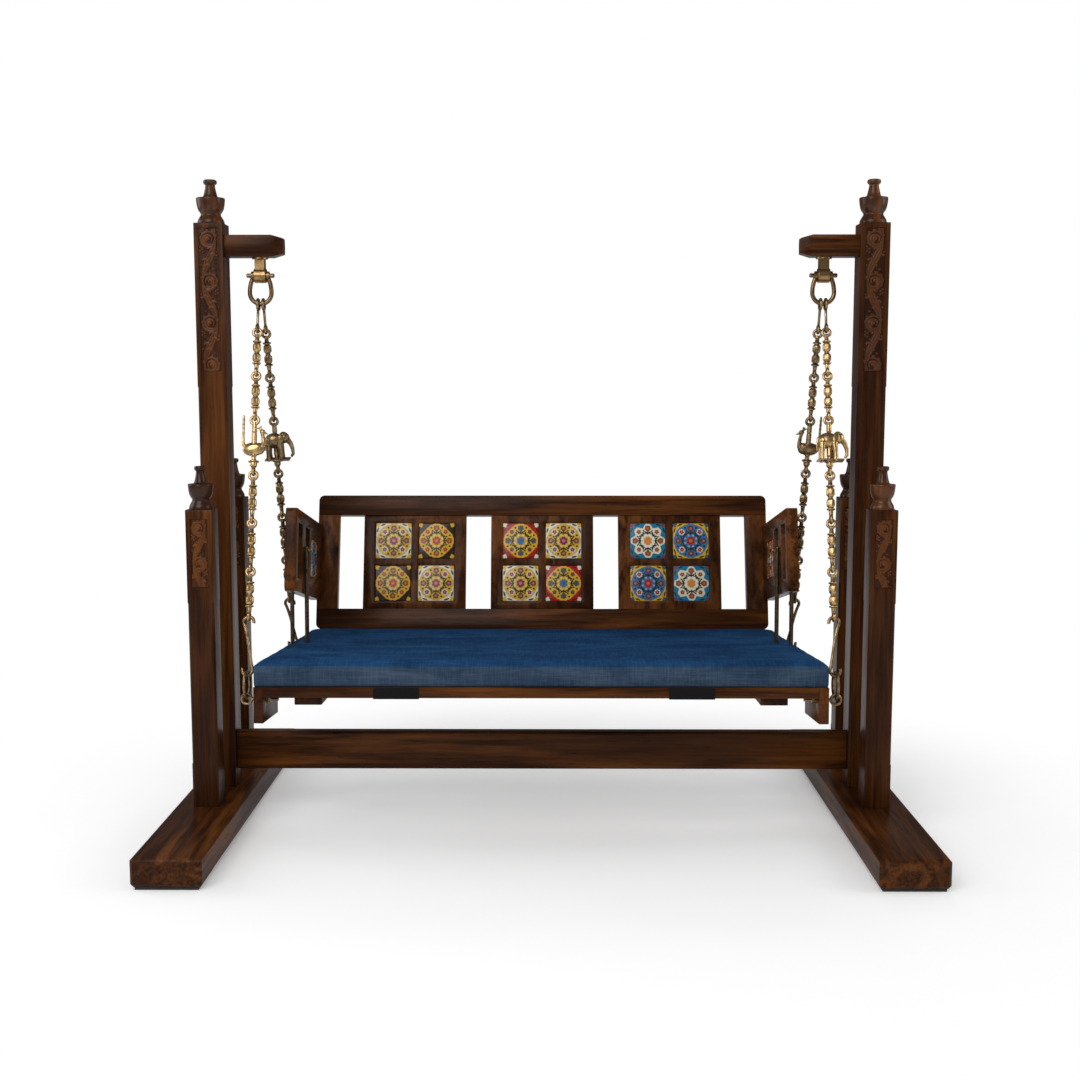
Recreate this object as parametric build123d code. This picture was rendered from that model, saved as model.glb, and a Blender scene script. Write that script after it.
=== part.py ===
from build123d import *
import os
from math import atan2, cos, degrees, radians, sin, tan

# A jhoola: a wooden seat with a cushion, hung by four ornamental brass chains from two
# posts. X runs across the seat, Y from front to back, Z up. The origin lies on the floor
# under the middle of the stand, and the stand is the same to the left and to the right.
# All sizes are millimetres.

os.makedirs("parts", exist_ok=True)

# ---- driving dimensions -----------------------------------------------------------
TILE = 100.0                # a square glazed tile, the size that sets the scale
POST_X = 828.0              # middle of each foot and of its three posts
POST_TOP = 1512.0           # top of the tall posts, under the finials
PIN_X = 707.0               # middle of each shackle pin, which lies along X
PIN_Z = 1385.0              # axis that the whole seat swings about
HANG_TILT = 2.5             # degrees: the seat hangs a little lower at the back
SEAT_FRONT = -280.0         # front edge of the seat board
SEAT_BACK = 320.0           # rear edge of the seat board
SEAT_HALF_FRONT = 680.0     # half the board's width at its front edge
SEAT_HALF_BACK = 645.0      # half the board's width at its rear edge
BOARD_TOP = 389.0
BOARD_THICK = 25.0
CUSHION_THICK = 55.0

# ---- fits -------------------------------------------------------------------------
GLUE_GAP = 0.15             # round a tenon, a dowel or a pin in its hole
SEAT_GAP = 0.3              # between faces that rest on each other but come apart
PIN_GAP = 0.05              # round a shackle pin in the eye that it turns in
LINK_GAP = 0.3              # between two links where one bears on the other

# ---- stand ------------------------------------------------------------------------
FOOT_WIDE, FOOT_LONG, FOOT_HIGH = 160.0, 1160.0, 68.0
PAD_HIGH, PAD_LONG, PAD_INSET = 7.0, 130.0, 9.0
FOOT_ROUND = 7.0
FOOT_TOP = PAD_HIGH + FOOT_HIGH
TALL_POST = 72.0
SHORT_POST = 64.0
SHORT_POST_TOP = 812.0
SHORT_POST_Y = 175.0
POST_TENON, POST_TENON_DEEP = 40.0, 46.0
PANEL_DEEP = 3.0            # the carved faces lie this far below the post's face
PANEL_BORDER = 11.0
TALL_PANEL_LOW = 1135.0
SHORT_PANEL_LOW = 612.0
PANEL_TOP_GAP = 13.0
SHORT_PANEL_TOP_GAP = 22.0
STOP_CHAMFER = 7.0          # the stopped chamfers on the plain part of a post
STOP_BLOCK = 110.0          # square block left at the foot of a post
STOP_GAP = 28.0             # square band left between the chamfers and the carving
DOWEL, DOWEL_DEEP = 18.0, 30.0
TALL_BOWL, TALL_FINIAL = 71.0, 109.0        # width across the bowl, and height
SHORT_BOWL, SHORT_FINIAL = 61.0, 105.0
STRETCHER_LOW, STRETCHER_HIGH, STRETCHER_THICK = 118.0, 99.0, 38.0
STRETCHER_TENON_DEEP = 28.0
SHOULDER = 8.0              # step from a rail's face down to its tenon
BOLT, BOLT_HEAD, BOLT_HEAD_HIGH = 8.0, 22.0, 5.0
BOLT_LONG = 56.0

# ---- hanger arms and eyes ---------------------------------------------------------
ARM_LOW, ARM_HIGH = 1430.0, 54.0
ARM_END = 647.0             # X of the arm's free end
ARM_TAPER = 28.0            # length of the sloped nose
ARM_RIDGE, ARM_FLAT = 28.0, 24.0    # half depth at mid-height, and at top and bottom
ARM_NOSE = 0.72             # size of the nose's end against the arm
ARM_TENON_DEEP = 34.0
EYE_BARREL, EYE_LONG = 37.0, 30.0
EYE_NECK = 24.0
EYE_PLATE, EYE_PLATE_THICK = 40.0, 4.0
EYE_SHANK, EYE_SHANK_DEEP = 12.0, 38.0

# ---- shackles ---------------------------------------------------------------------
PIN, PIN_LONG = 11.0, 70.0
BOW_WIRE = 11.0
BOW_RADIUS = 27.2           # from the middle of the bow to the middle of its wire
BOW_CENTRE_Z = 1342.0
BOW_EAR, BOW_EAR_LONG = 21.0, 7.0

# ---- chains -----------------------------------------------------------------------
CHAIN_TOP_Z = BOW_CENTRE_Z - BOW_RADIUS
CHAIN_FOOT_Y, CHAIN_FOOT_Z = 240.0, 356.6
FRONT_TOP_X, FRONT_FOOT_X = 713.5, 704.0
REAR_TOP_X, REAR_FOOT_X = 700.5, 676.0
# distance down a chain of each place where one link bears on the next
HOOK_END = 70.0
SHORT_PITCH = 113.5         # the two links above the figure
FIGURE_PITCH = 140.0
LONG_PITCH = 120.0          # the three links below the figure
SHORT_LINKS, LONG_LINKS = 2, 3
LINK_WIRE = 7.5
FRONT_EYE = 9.75            # mean radius of the eye that shows its hole to the front
SIDE_EYE = 8.75             # mean radius of the eye that is turned a quarter
FLANGE, BEAD = 22.0, 21.0
FIGURE_LOW = 98.0           # underside of a figure's body, below its upper bearing place
FIGURE_FLANGE, FIGURE_FOOT = 26.0, 11.0     # flange under a figure, and how far below it
PEACOCK_WIDE, PEACOCK_BAR = 22.0, 8.0       # thickness of its body, and of tail and neck
ELEPHANT_WIDE, ELEPHANT_LEG = 38.0, 11.0
PLATE_LONG, PLATE_WIDE, PLATE_THICK = 66.0, 28.0, 4.0
SHORT_BODY, LONG_BODY = 59.0, 61.0
HOOK_EYE = 12.5             # mean radius of the hook's eye over the bow
HOOK_SHANK, HOOK_SHANK_LOW = 6.8, 6.4
S_WIRE, S_CURL = 8.0, 12.0   # the S-hook's wire and the mean radius of its curls
S_TURN = 215.0              # degrees that each curl is bent through
RING_WIRE, RING_RADIUS = 8.0, 31.25

# ---- seat -------------------------------------------------------------------------
CHEEK_THICK, CHEEK_LONG, CHEEK_LOW = 23.0, 140.0, 303.0
BATTEN_WIDE, BATTEN_THICK, BATTEN_X = 66.0, 25.0, 558.0
BATTEN_END_GAP = 45.0
STRAP_WIDE, STRAP_THICK = 108.0, 2.0
STRAP_X = (-342.0, 357.0)
EYE_BOLT_WIRE, EYE_BOLT_RADIUS = 7.0, 12.0
RING_GAP = 1.8              # play between a chain's ring and the eye bolt in it
EYE_BOLT_OUT = 26.3         # from the cheek's outer face to the middle of the eye
EYE_BOLT_END = 28.0         # length past the cheek's inner face
NUT_WIDE, NUT_THICK, WASHER, WASHER_THICK = 13.0, 7.0, 17.0, 2.0

# ---- backrest ---------------------------------------------------------------------
BACK_HALF, BACK_TALL, BACK_THICK = 627.0, 376.0, 28.0
BACK_Y, BACK_Z = 290.0, 452.0       # its lower front edge
BACK_TILT = 13.0
BACK_RAIL = 56.0
BACK_ROUND = 15.0
SLOT_WIDE, BACK_STILE = 70.0, 58.0          # the four open slots, and the end stiles
SLOT_PITCH = (BACK_HALF - BACK_STILE - SLOT_WIDE / 2) / 1.5
PANEL_THICK = 22.0
TONGUE = 8.0                # depth of the panels' tongues in the rails
STILE_TENON = 34.0
TILE_PITCH, TILE_THICK, TILE_SUNK = 120.0, 7.0, 1.5

# ---- arm panels -------------------------------------------------------------------
ARM_LAP, ARM_THICK = 11.0, 26.0
ARM_IN = BACK_HALF - ARM_LAP        # X of its inner face, a little inside the backrest's end
ARM_OUT = ARM_IN + ARM_THICK
ARM_SLOPE = 10.0
ARM_TOP_Y, ARM_TOP_Z = -45.0, 805.0     # its top front corner
ARM_PANEL_HIGH, ARM_PANEL_LONG = 210.0, 430.0
ARM_STILE, ARM_SLOT, ARM_BAR = 40.0, 60.0, 46.0
ARM_SLOT_TOP, ARM_SLOT_END = 34.0, 176.0
ARM_TILE_MARGIN, ARM_TILE_TOP = 26.0, 55.0
ROD, ROD_FLANGE, ROD_FLANGE_THICK = 11.0, 24.0, 3.0
ROD_STUD, ROD_STUD_DEEP, ROD_GAP = 8.0, 20.0, 0.5
ROD_Y, ROD_TOP = 57.0, 698.0
ROD_BOLT, ROD_BOLT_DROP = 6.0, 9.0
ROD_BOLT_HEAD, ROD_BOLT_HEAD_HIGH = 12.0, 4.0
ACORN_WIDE, ACORN_HEX, ACORN_DOME = 11.0, 5.0, 10.0     # across flats, hexagon, dome
ACORN_SKIN = 0.7            # brass left over the bolt's end
CUSHION_SLIT = 14.0
BRACKET_WIDE, BRACKET_THICK, BRACKET_X = 40.0, 5.0, 455.0
BRACKET_UP = 350.0
ARM_SCREW, ARM_SCREW_LONG = 4.0, 70.0        # the long screws that hold the arm panels
ARM_SCREW_HEAD, ARM_SCREW_HEAD_HIGH = 8.0, 2.4
ARM_SCREW_LOW, ARM_SCREW_HIGH = 150.0, 235.0
SCREW, SCREW_HEAD, SCREW_HEAD_HIGH, SCREW_LONG = 4.5, 9.0, 2.5, 22.0

SIDES = (("left", -1), ("right", 1))
ENDS = (("front", -1), ("rear", 1))


# ---- helpers ----------------------------------------------------------------------
def block(x0, x1, y0, y1, z0, z1):
    """A box between two corners."""
    middle = Location(((x0 + x1) / 2, (y0 + y1) / 2, (z0 + z1) / 2))
    return middle * Box(abs(x1 - x0), abs(y1 - y0), abs(z1 - z0))


def column(x, y, size, z0, z1):
    """A square column round a vertical axis."""
    return block(x - size / 2, x + size / 2, y - size / 2, y + size / 2, z0, z1)


def upright(x, y, z0, z1, diameter):
    """A vertical cylinder."""
    return Location((x, y, (z0 + z1) / 2)) * Cylinder(diameter / 2, z1 - z0)


def bar_x(x0, x1, y, z, diameter):
    """A cylinder along X."""
    turn = Rotation(0, 90, 0)
    return Location(((x0 + x1) / 2, y, z)) * turn * Cylinder(diameter / 2, abs(x1 - x0))


def turned(points):
    """A piece turned about Z from half its outline, (radius, z) from the foot up."""
    start, end = points[0], points[-1]
    outline = [(0, start[1])] + points + [(0, end[1])]
    return revolve(Plane.XZ * make_face(Polyline(*outline, close=True)), Axis.Z)


def across(shape):
    """The same piece on the other side of the stand."""
    return shape.mirror(Plane.YZ)


def hung(shape):
    """A piece of the seat, drawn level, turned to how it hangs."""
    return shape.rotate(Axis((0, 0, PIN_Z), (1, 0, 0)), -HANG_TILT)


def save(name, *shapes):
    """Write one node, whose pieces stay separate solids."""
    solids = [solid for shape in shapes for solid in shape.solids()]
    whole = solids[0] if len(solids) == 1 else Compound(children=solids)
    export_step(whole, f"parts/{name}.step")


# ---- the stand --------------------------------------------------------------------
def foot(x):
    """A floor beam with a mortise for each of its three posts."""
    beam = block(x - FOOT_WIDE / 2, x + FOOT_WIDE / 2, -FOOT_LONG / 2, FOOT_LONG / 2,
                 PAD_HIGH, FOOT_TOP)
    beam = chamfer(beam.edges(), FOOT_ROUND)
    for y in (-SHORT_POST_Y, 0, SHORT_POST_Y):
        mortise = POST_TENON + 2 * GLUE_GAP
        depth = POST_TENON_DEEP + SEAT_GAP
        beam -= column(x, y, mortise, FOOT_TOP - depth, FOOT_TOP + 1)
        beam -= upright(x, y, PAD_HIGH - 1, FOOT_TOP, BOLT + 2 * GLUE_GAP)
        head = BOLT_HEAD + 2 * SEAT_GAP
        beam -= upright(x, y, PAD_HIGH - 1, PAD_HIGH + BOLT_HEAD_HIGH + SEAT_GAP, head)
    return beam


def foot_pads(x):
    """The two pads that a foot stands on."""
    half = FOOT_WIDE / 2 - PAD_INSET
    outer = FOOT_LONG / 2 - PAD_INSET
    return [block(x - half, x + half, end * (outer - PAD_LONG), end * outer, 0, PAD_HIGH)
            for end in (-1, 1)]


def foot_bolt(x, y):
    """A bolt up through the foot into the end grain of a post."""
    low = PAD_HIGH + SEAT_GAP
    head = upright(x, y, low, low + BOLT_HEAD_HIGH - SEAT_GAP, BOLT_HEAD)
    return head + upright(x, y, low, low + BOLT_LONG, BOLT)


def post(x, y, size, top, panel_low, panel_top):
    """A square post: tenon, stopped chamfers and sunk panels to the front and back."""
    wood = column(x, y, size, FOOT_TOP, top)
    wood += column(x, y, POST_TENON, FOOT_TOP - POST_TENON_DEEP, FOOT_TOP)
    shaft_low, shaft_top = FOOT_TOP + STOP_BLOCK, panel_low - STOP_GAP
    edge_cut = Box(STOP_CHAMFER, STOP_CHAMFER, shaft_top - shaft_low)
    for sx in (-1, 1):
        for sy in (-1, 1):
            corner = Location((x + sx * size / 2, y + sy * size / 2, (shaft_low + shaft_top) / 2))
            wood -= corner * Rotation(0, 0, 45) * edge_cut
    half = size / 2 - PANEL_BORDER
    for face in (-1, 1):
        surface = y + face * size / 2
        wood -= block(x - half, x + half, surface - face * PANEL_DEEP, surface + face,
                      panel_low + PANEL_BORDER, panel_top)
    wood -= upright(x, y, top - DOWEL_DEEP - SEAT_GAP, top + 1, DOWEL + 2 * GLUE_GAP)
    bolt_top = PAD_HIGH + BOLT_LONG + 2 * SEAT_GAP
    wood -= upright(x, y, 0, bolt_top, BOLT + 2 * GLUE_GAP)
    return wood


def tall_post(x):
    """A tall post also has mortises for the stretcher and for the hanger arm."""
    wood = post(x, 0, TALL_POST, POST_TOP, TALL_PANEL_LOW, POST_TOP - PANEL_TOP_GAP)
    inward = -1 if x > 0 else 1
    face = x + inward * TALL_POST / 2
    rail = STRETCHER_THICK / 2 - SHOULDER + GLUE_GAP
    wood -= block(face + inward, face - inward * (STRETCHER_TENON_DEEP + SEAT_GAP), -rail, rail,
                  STRETCHER_LOW + SHOULDER - GLUE_GAP,
                  STRETCHER_LOW + STRETCHER_HIGH - SHOULDER + GLUE_GAP)
    arm = ARM_FLAT - SHOULDER + GLUE_GAP
    wood -= block(face + inward, face - inward * (ARM_TENON_DEEP + SEAT_GAP), -arm, arm,
                  ARM_LOW + SHOULDER - GLUE_GAP, ARM_LOW + ARM_HIGH - SHOULDER + GLUE_GAP)
    return wood


def finial(x, y, low, bowl, high):
    """A turned finial: flared base, bowl and a knob on a slender neck, on a dowel."""
    wide = bowl / 2
    outline = [
        (0.93 * wide, 0), (0.90 * wide, 0.08 * high), (0.76 * wide, 0.17 * high),
        (0.69 * wide, 0.21 * high), (0.76 * wide, 0.25 * high), (0.90 * wide, 0.32 * high),
        (wide, 0.46 * high), (wide, 0.575 * high), (0.57 * wide, 0.58 * high),
        (0.44 * wide, 0.65 * high), (0.34 * wide, 0.81 * high), (0.35 * wide, 0.85 * high),
        (0.47 * wide, 0.90 * high), (0.47 * wide, 0.96 * high), (0.38 * wide, high),
    ]
    piece = turned(outline) + upright(0, 0, -DOWEL_DEEP, 0.1 * high, DOWEL)
    return Location((x, y, low)) * piece


def stretcher():
    """The low rail between the tall posts, tenoned into both."""
    face = POST_X - TALL_POST / 2
    half = STRETCHER_THICK / 2
    rail = block(-face, face, -half, half, STRETCHER_LOW, STRETCHER_LOW + STRETCHER_HIGH)
    rail = chamfer(rail.edges().filter_by(Axis.X), 4)
    reach = face + STRETCHER_TENON_DEEP
    rail += block(-reach, reach, SHOULDER - half, half - SHOULDER, STRETCHER_LOW + SHOULDER,
                  STRETCHER_LOW + STRETCHER_HIGH - SHOULDER)
    return rail


def arm_section(x, size):
    """The arm's six-sided outline at one place, with a ridge to the front and the back."""
    half = ARM_HIGH / 2 * size
    ridge, flat = ARM_RIDGE * size, ARM_FLAT * size
    middle = ARM_LOW + ARM_HIGH / 2
    corners = [(-flat, -half), (flat, -half), (ridge, 0), (flat, half), (-flat, half), (-ridge, 0)]
    return make_face(Polyline(*[(x, y, middle + z) for y, z in corners], close=True))


def hanger_arm():
    """The short arm that carries the left shackle, tenoned into the left tall post."""
    root = POST_X - TALL_POST / 2
    nose = ARM_END + ARM_TAPER
    wood = loft([arm_section(-root, 1), arm_section(-nose, 1)], ruled=True)
    wood += loft([arm_section(-nose, 1), arm_section(-ARM_END, ARM_NOSE)], ruled=True)
    side = ARM_FLAT - SHOULDER
    wood += block(-root - ARM_TENON_DEEP, -root + 5, -side, side, ARM_LOW + SHOULDER,
                  ARM_LOW + ARM_HIGH - SHOULDER)
    wood -= upright(-PIN_X, 0, ARM_LOW - 1, ARM_LOW + EYE_SHANK_DEEP + SEAT_GAP,
                    EYE_SHANK + 2 * GLUE_GAP)
    return wood


def hanger_eye():
    """The brass eye under the left arm, whose barrel the shackle pin turns in."""
    barrel = bar_x(-PIN_X - EYE_LONG / 2, -PIN_X + EYE_LONG / 2, 0, PIN_Z, EYE_BARREL)
    barrel = chamfer(barrel.edges().filter_by(GeomType.CIRCLE), 1.5)
    top = ARM_LOW - SEAT_GAP
    eye = barrel + column(-PIN_X, 0, EYE_NECK, PIN_Z, top - EYE_PLATE_THICK / 2)
    eye += upright(-PIN_X, 0, top - EYE_PLATE_THICK, top, EYE_PLATE)
    eye += upright(-PIN_X, 0, top - 1, ARM_LOW + EYE_SHANK_DEEP, EYE_SHANK)
    reach = EYE_LONG
    return eye - bar_x(-PIN_X - reach, -PIN_X + reach, 0, PIN_Z, PIN + 2 * PIN_GAP)


# ---- the shackles -----------------------------------------------------------------
def shackle_pin():
    """The pin with domed ends that the bow hangs on."""
    pin = bar_x(-PIN_X - PIN_LONG / 2, -PIN_X + PIN_LONG / 2, 0, PIN_Z, PIN)
    return fillet(pin.edges().filter_by(GeomType.CIRCLE), 3)


def shackle_bow():
    """A U of round bar with a bored ear at the top of each leg."""
    lug = EYE_LONG / 2 + SEAT_GAP + BOW_EAR_LONG / 2
    half_turn = CenterArc((0, 0), BOW_RADIUS, 180, 180)
    rise = PIN_Z - BOW_CENTRE_Z - BOW_EAR / 4
    left = Spline((-lug, rise), half_turn @ 0, tangents=[(-0.5, -1), (0, -1)])
    right = Spline(half_turn @ 1, (lug, rise), tangents=[(0, 1), (-0.5, 1)])
    front = Plane((-PIN_X, 0, BOW_CENTRE_Z), x_dir=(1, 0, 0), z_dir=(0, -1, 0))
    path = front * Wire([left, half_turn, right])
    bow = sweep(Plane(path @ 0, z_dir=path % 0) * Circle(BOW_WIRE / 2), path)
    for side in (-1, 1):
        x = -PIN_X + side * lug
        bow += bar_x(x - BOW_EAR_LONG / 2, x + BOW_EAR_LONG / 2, 0, PIN_Z, BOW_EAR)
    bow -= bar_x(-PIN_X - lug + BOW_EAR_LONG / 2, -PIN_X + lug - BOW_EAR_LONG / 2, 0, PIN_Z,
                 EYE_BARREL + 1)
    return bow - bar_x(-PIN_X - PIN_LONG, -PIN_X + PIN_LONG, 0, PIN_Z, PIN + 2 * PIN_GAP)


# ---- chain links, drawn hanging down from the origin --------------------------------
def front_ring(radius, wire, drop):
    """A ring whose hole shows from the front, its middle this far down."""
    return Location((0, 0, -drop)) * Rotation(90, 0, 0) * Torus(radius, wire / 2)


def side_ring(radius, wire, drop):
    """A ring turned a quarter, so that its hole shows from the side."""
    return Location((0, 0, -drop)) * Rotation(0, 90, 0) * Torus(radius, wire / 2)


def beaded_body(top, length, stem_top, stem_low):
    """The turned middle of a link: two flanges with two beads between, and its stems."""
    thick, neck = 2.5, 5.5
    gap = (length - 2 * thick) / 2
    outline = [(neck, stem_top), (neck, -top), (FLANGE / 2, -top), (FLANGE / 2, -top - thick)]
    for bead in (0, 1):
        low = top + thick + bead * gap
        outline += [(neck, -low - 0.12 * gap), (BEAD / 2, -low - 0.36 * gap),
                    (BEAD / 2, -low - 0.64 * gap), (neck, -low - 0.88 * gap)]
    foot = top + length
    outline += [(FLANGE / 2, -foot + thick), (FLANGE / 2, -foot), (neck, -foot), (neck, stem_low)]
    return turned(outline[::-1])


def link_eyes(pitch):
    """The upper and the lower eye of a link between two bearing places."""
    clear = LINK_GAP / 2
    upper_drop = FRONT_EYE - LINK_WIRE / 2 - clear
    lower_drop = pitch - SIDE_EYE + LINK_WIRE / 2 + clear
    upper = front_ring(FRONT_EYE, LINK_WIRE, upper_drop)
    lower = side_ring(SIDE_EYE, LINK_WIRE, lower_drop)
    return upper, lower, upper_drop + FRONT_EYE, lower_drop - SIDE_EYE


def beaded_link(pitch, body):
    """A cast link: eye, stem, flange, two beads, flange, stem and a turned eye."""
    upper, lower, high, low = link_eyes(pitch)
    top = (high + low) / 2 - body / 2
    return upper + lower + beaded_body(top, body, -high, -low)


def top_hook():
    """The closed hook over the bow, with the first eye below it."""
    clear = BOW_WIRE / 2 + LINK_WIRE / 2 + 5 * LINK_GAP
    upper_drop = HOOK_EYE - clear
    lower_drop = HOOK_END - SIDE_EYE + LINK_WIRE / 2 + LINK_GAP / 2
    high, low = upper_drop + HOOK_EYE, lower_drop - SIDE_EYE
    shank = turned([(HOOK_SHANK_LOW / 2, -low - LINK_WIRE / 4),
                    (HOOK_SHANK / 2, LINK_WIRE / 4 - high)])
    hook = side_ring(HOOK_EYE, LINK_WIRE, upper_drop)
    return hook + side_ring(SIDE_EYE, LINK_WIRE, lower_drop) + shank


def figure_core(plinth, head, low):
    """The turned core of a figure: its foot with a flange, and the post up to the eye."""
    flange = plinth + FIGURE_FOOT
    return turned([
        (4.5, -low - 1), (8, 6 - low), (8.5, -flange - 3), (FIGURE_FLANGE / 2, -flange - 3),
        (FIGURE_FLANGE / 2, -flange), (5, -flange), (6.5, 3 - plinth), (5.5, -head),
        (4.5, 9 - head)])


def outline_of(points):
    """A face drawn in shares of a figure's height, (x, z) with z up from the bearing place."""
    return make_face(Plane.XZ * Polyline(*[(x * FIGURE_LOW, z * FIGURE_LOW) for x, z in points],
                                         close=True))


def peacock():
    """A peacock that looks to +X: a boat of a body, neck, head and an upright tail bar."""
    upper, lower, high, low = link_eyes(FIGURE_PITCH)
    side = outline_of([
        (-0.315, 0.05), (-0.315, -0.735), (-0.12, -1), (0.1, -1), (0.255, -0.9), (0.285, -0.735),
        (0.245, -0.49), (0.345, -0.43), (0.225, -0.275), (0.1, -0.285), (0.165, -0.41),
        (0.165, -0.695), (-0.245, -0.675), (-0.245, 0.05)])
    hull = outline_of([(-0.285, -0.685), (-0.12, -0.99), (0.1, -0.99), (0.245, -0.89),
                       (0.275, -0.695)])
    body = extrude(side, PEACOCK_BAR / 2, both=True)
    body += extrude(hull, PEACOCK_WIDE / 2, both=True)
    return figure_core(FIGURE_LOW, high + 5, low) + body + upper + lower


def elephant():
    """An elephant that looks to +X, on a flat plate: body, legs, head and trunk."""
    upper, lower, high, low = link_eyes(FIGURE_PITCH)
    round_body = ELEPHANT_WIDE / 2
    plate_top = PLATE_THICK - FIGURE_LOW - FIGURE_FOOT
    plate = Location((2, 0, plate_top - PLATE_THICK / 2)) * Box(PLATE_LONG, PLATE_WIDE, PLATE_THICK)
    barrel = turned([(round_body - 10, 0), (round_body - 4, 4), (round_body, 14),
                     (round_body, 30), (round_body - 3, 40), (round_body - 10, 45)])
    body = Location((-27, 0, -57)) * Rotation(0, 90, 0) * barrel
    head = Location((24, 0, -50)) * Sphere(13.5)
    trunk_path = Plane.XZ * Spline((30, -52), (41, -64), (43, -80), (45, -94))
    trunk = sweep(Plane(trunk_path @ 0, z_dir=trunk_path % 0) * Circle(4.2), trunk_path)
    animal = figure_core(FIGURE_LOW, high + 6, low) + plate + body + head + trunk
    for x in (-17, 12):
        for y in (-8.5, 8.5):
            animal += upright(x, y, plate_top - PLATE_THICK / 2, -60, ELEPHANT_LEG)
    return animal + upper + lower


def s_hook(pitch, hand):
    """A hook bent to an S in one plane: two open curls joined by a sloping shank."""
    upper = S_CURL - S_WIRE / 2 - LINK_GAP / 2
    lower = pitch - S_CURL + S_WIRE / 2 + RING_WIRE / 2 + LINK_GAP / 2
    top = CenterArc((0, -upper), S_CURL, 195, -S_TURN)
    foot = CenterArc((0, -lower), S_CURL, 165, S_TURN)
    shank = Spline(top @ 1, foot @ 0, tangents=[top % 1, foot % 0])
    path = Plane.XZ * Curve([top, shank, foot])
    path = path.wires()[0] if path.wires() else path
    hook = sweep(Plane(path @ 0, z_dir=path % 0) * Circle(S_WIRE / 2), path)
    return hook if hand > 0 else hook.mirror(Plane.YZ)


# ---- the four chains ----------------------------------------------------------------
def chain_frame(end):
    """Top, direction and length of one chain on the right: front or rear."""
    top_x, foot_x = (FRONT_TOP_X, FRONT_FOOT_X) if end < 0 else (REAR_TOP_X, REAR_FOOT_X)
    top = Vector(top_x, 0, CHAIN_TOP_Z)
    foot = Vector(foot_x, end * CHAIN_FOOT_Y, CHAIN_FOOT_Z)
    return top, (foot - top).normalized(), (foot - top).length


def along(end, distance, side):
    """Where a link that is drawn hanging from the origin belongs on a chain."""
    top, down, _ = chain_frame(end)
    place = top + down * distance
    if side < 0:
        place, down = Vector(-place.X, place.Y, place.Z), Vector(-down.X, down.Y, down.Z)
    return Plane(place, x_dir=(1, 0, 0), z_dir=down * -1).location


HOOK = top_hook()
SHORT_LINK = beaded_link(SHORT_PITCH, SHORT_BODY)
LONG_LINK = beaded_link(LONG_PITCH, LONG_BODY)
PEACOCK = peacock()
ELEPHANT = elephant()
FIGURE_AT = HOOK_END + SHORT_LINKS * SHORT_PITCH
LOWER_AT = FIGURE_AT + FIGURE_PITCH
S_AT = LOWER_AT + LONG_LINKS * LONG_PITCH


def chain(end, side):
    """Every piece of one chain, from the bow down to the ring."""
    _, _, length = chain_frame(end)
    upper = [along(end, HOOK_END + n * SHORT_PITCH, side) * SHORT_LINK for n in range(SHORT_LINKS)]
    lower = [along(end, LOWER_AT + n * LONG_PITCH, side) * LONG_LINK for n in range(LONG_LINKS)]
    ring_top = length - 2 * RING_RADIUS
    ring = along(end, length - RING_RADIUS, side) * Rotation(0, 90, 0) * \
        Torus(RING_RADIUS, RING_WIRE / 2)
    figure = PEACOCK if end == side else ELEPHANT
    if (end, side) == (1, 1):
        figure = figure.mirror(Plane.YZ)
    return {
        "hook": along(end, 0, side) * HOOK,
        "links": upper + lower,
        "figure": along(end, FIGURE_AT, side) * figure,
        "s_hook": along(end, S_AT, side) * s_hook(ring_top - S_AT, side),
        "ring": ring,
    }


# ---- the seat -------------------------------------------------------------------------
TAPER = (SEAT_HALF_FRONT - SEAT_HALF_BACK) / (SEAT_BACK - SEAT_FRONT)
BOARD_LOW = BOARD_TOP - BOARD_THICK


def half_width(y):
    """Half the board's width at one depth."""
    return SEAT_HALF_FRONT - TAPER * (y - SEAT_FRONT)


def seat_outline(inset):
    """The board's plan, a little narrower at the back, drawn in by an inset."""
    front, back = SEAT_FRONT + inset, SEAT_BACK - inset
    wide, narrow = half_width(front) - inset, half_width(back) - inset
    return make_face(Polyline((-wide, front), (wide, front), (narrow, back), (-narrow, back),
                              close=True))


def corner(end, side):
    """Frame of a cheek block: origin on its outer face beside the chain, X outward."""
    y = end * CHAIN_FOOT_Y
    lean = degrees(atan2(TAPER, 1))
    place = Location((side * half_width(y), y, 0))
    return place * Rotation(0, 0, side * lean if side > 0 else 180 + side * lean)


def cheek(end, side, grow=0.0):
    """The block at one corner of the seat that takes an eye bolt."""
    edge = SEAT_FRONT if end < 0 else SEAT_BACK
    near = abs(edge - end * CHAIN_FOOT_Y) / cos(atan2(TAPER, 1))
    outward = 1 if end * side > 0 else -1
    y0, y1 = -outward * (CHEEK_LONG - near + grow), outward * (near + grow)
    solid = block(-CHEEK_THICK - grow, grow, min(y0, y1), max(y0, y1), CHEEK_LOW, BOARD_TOP + grow)
    return corner(end, side) * solid


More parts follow.
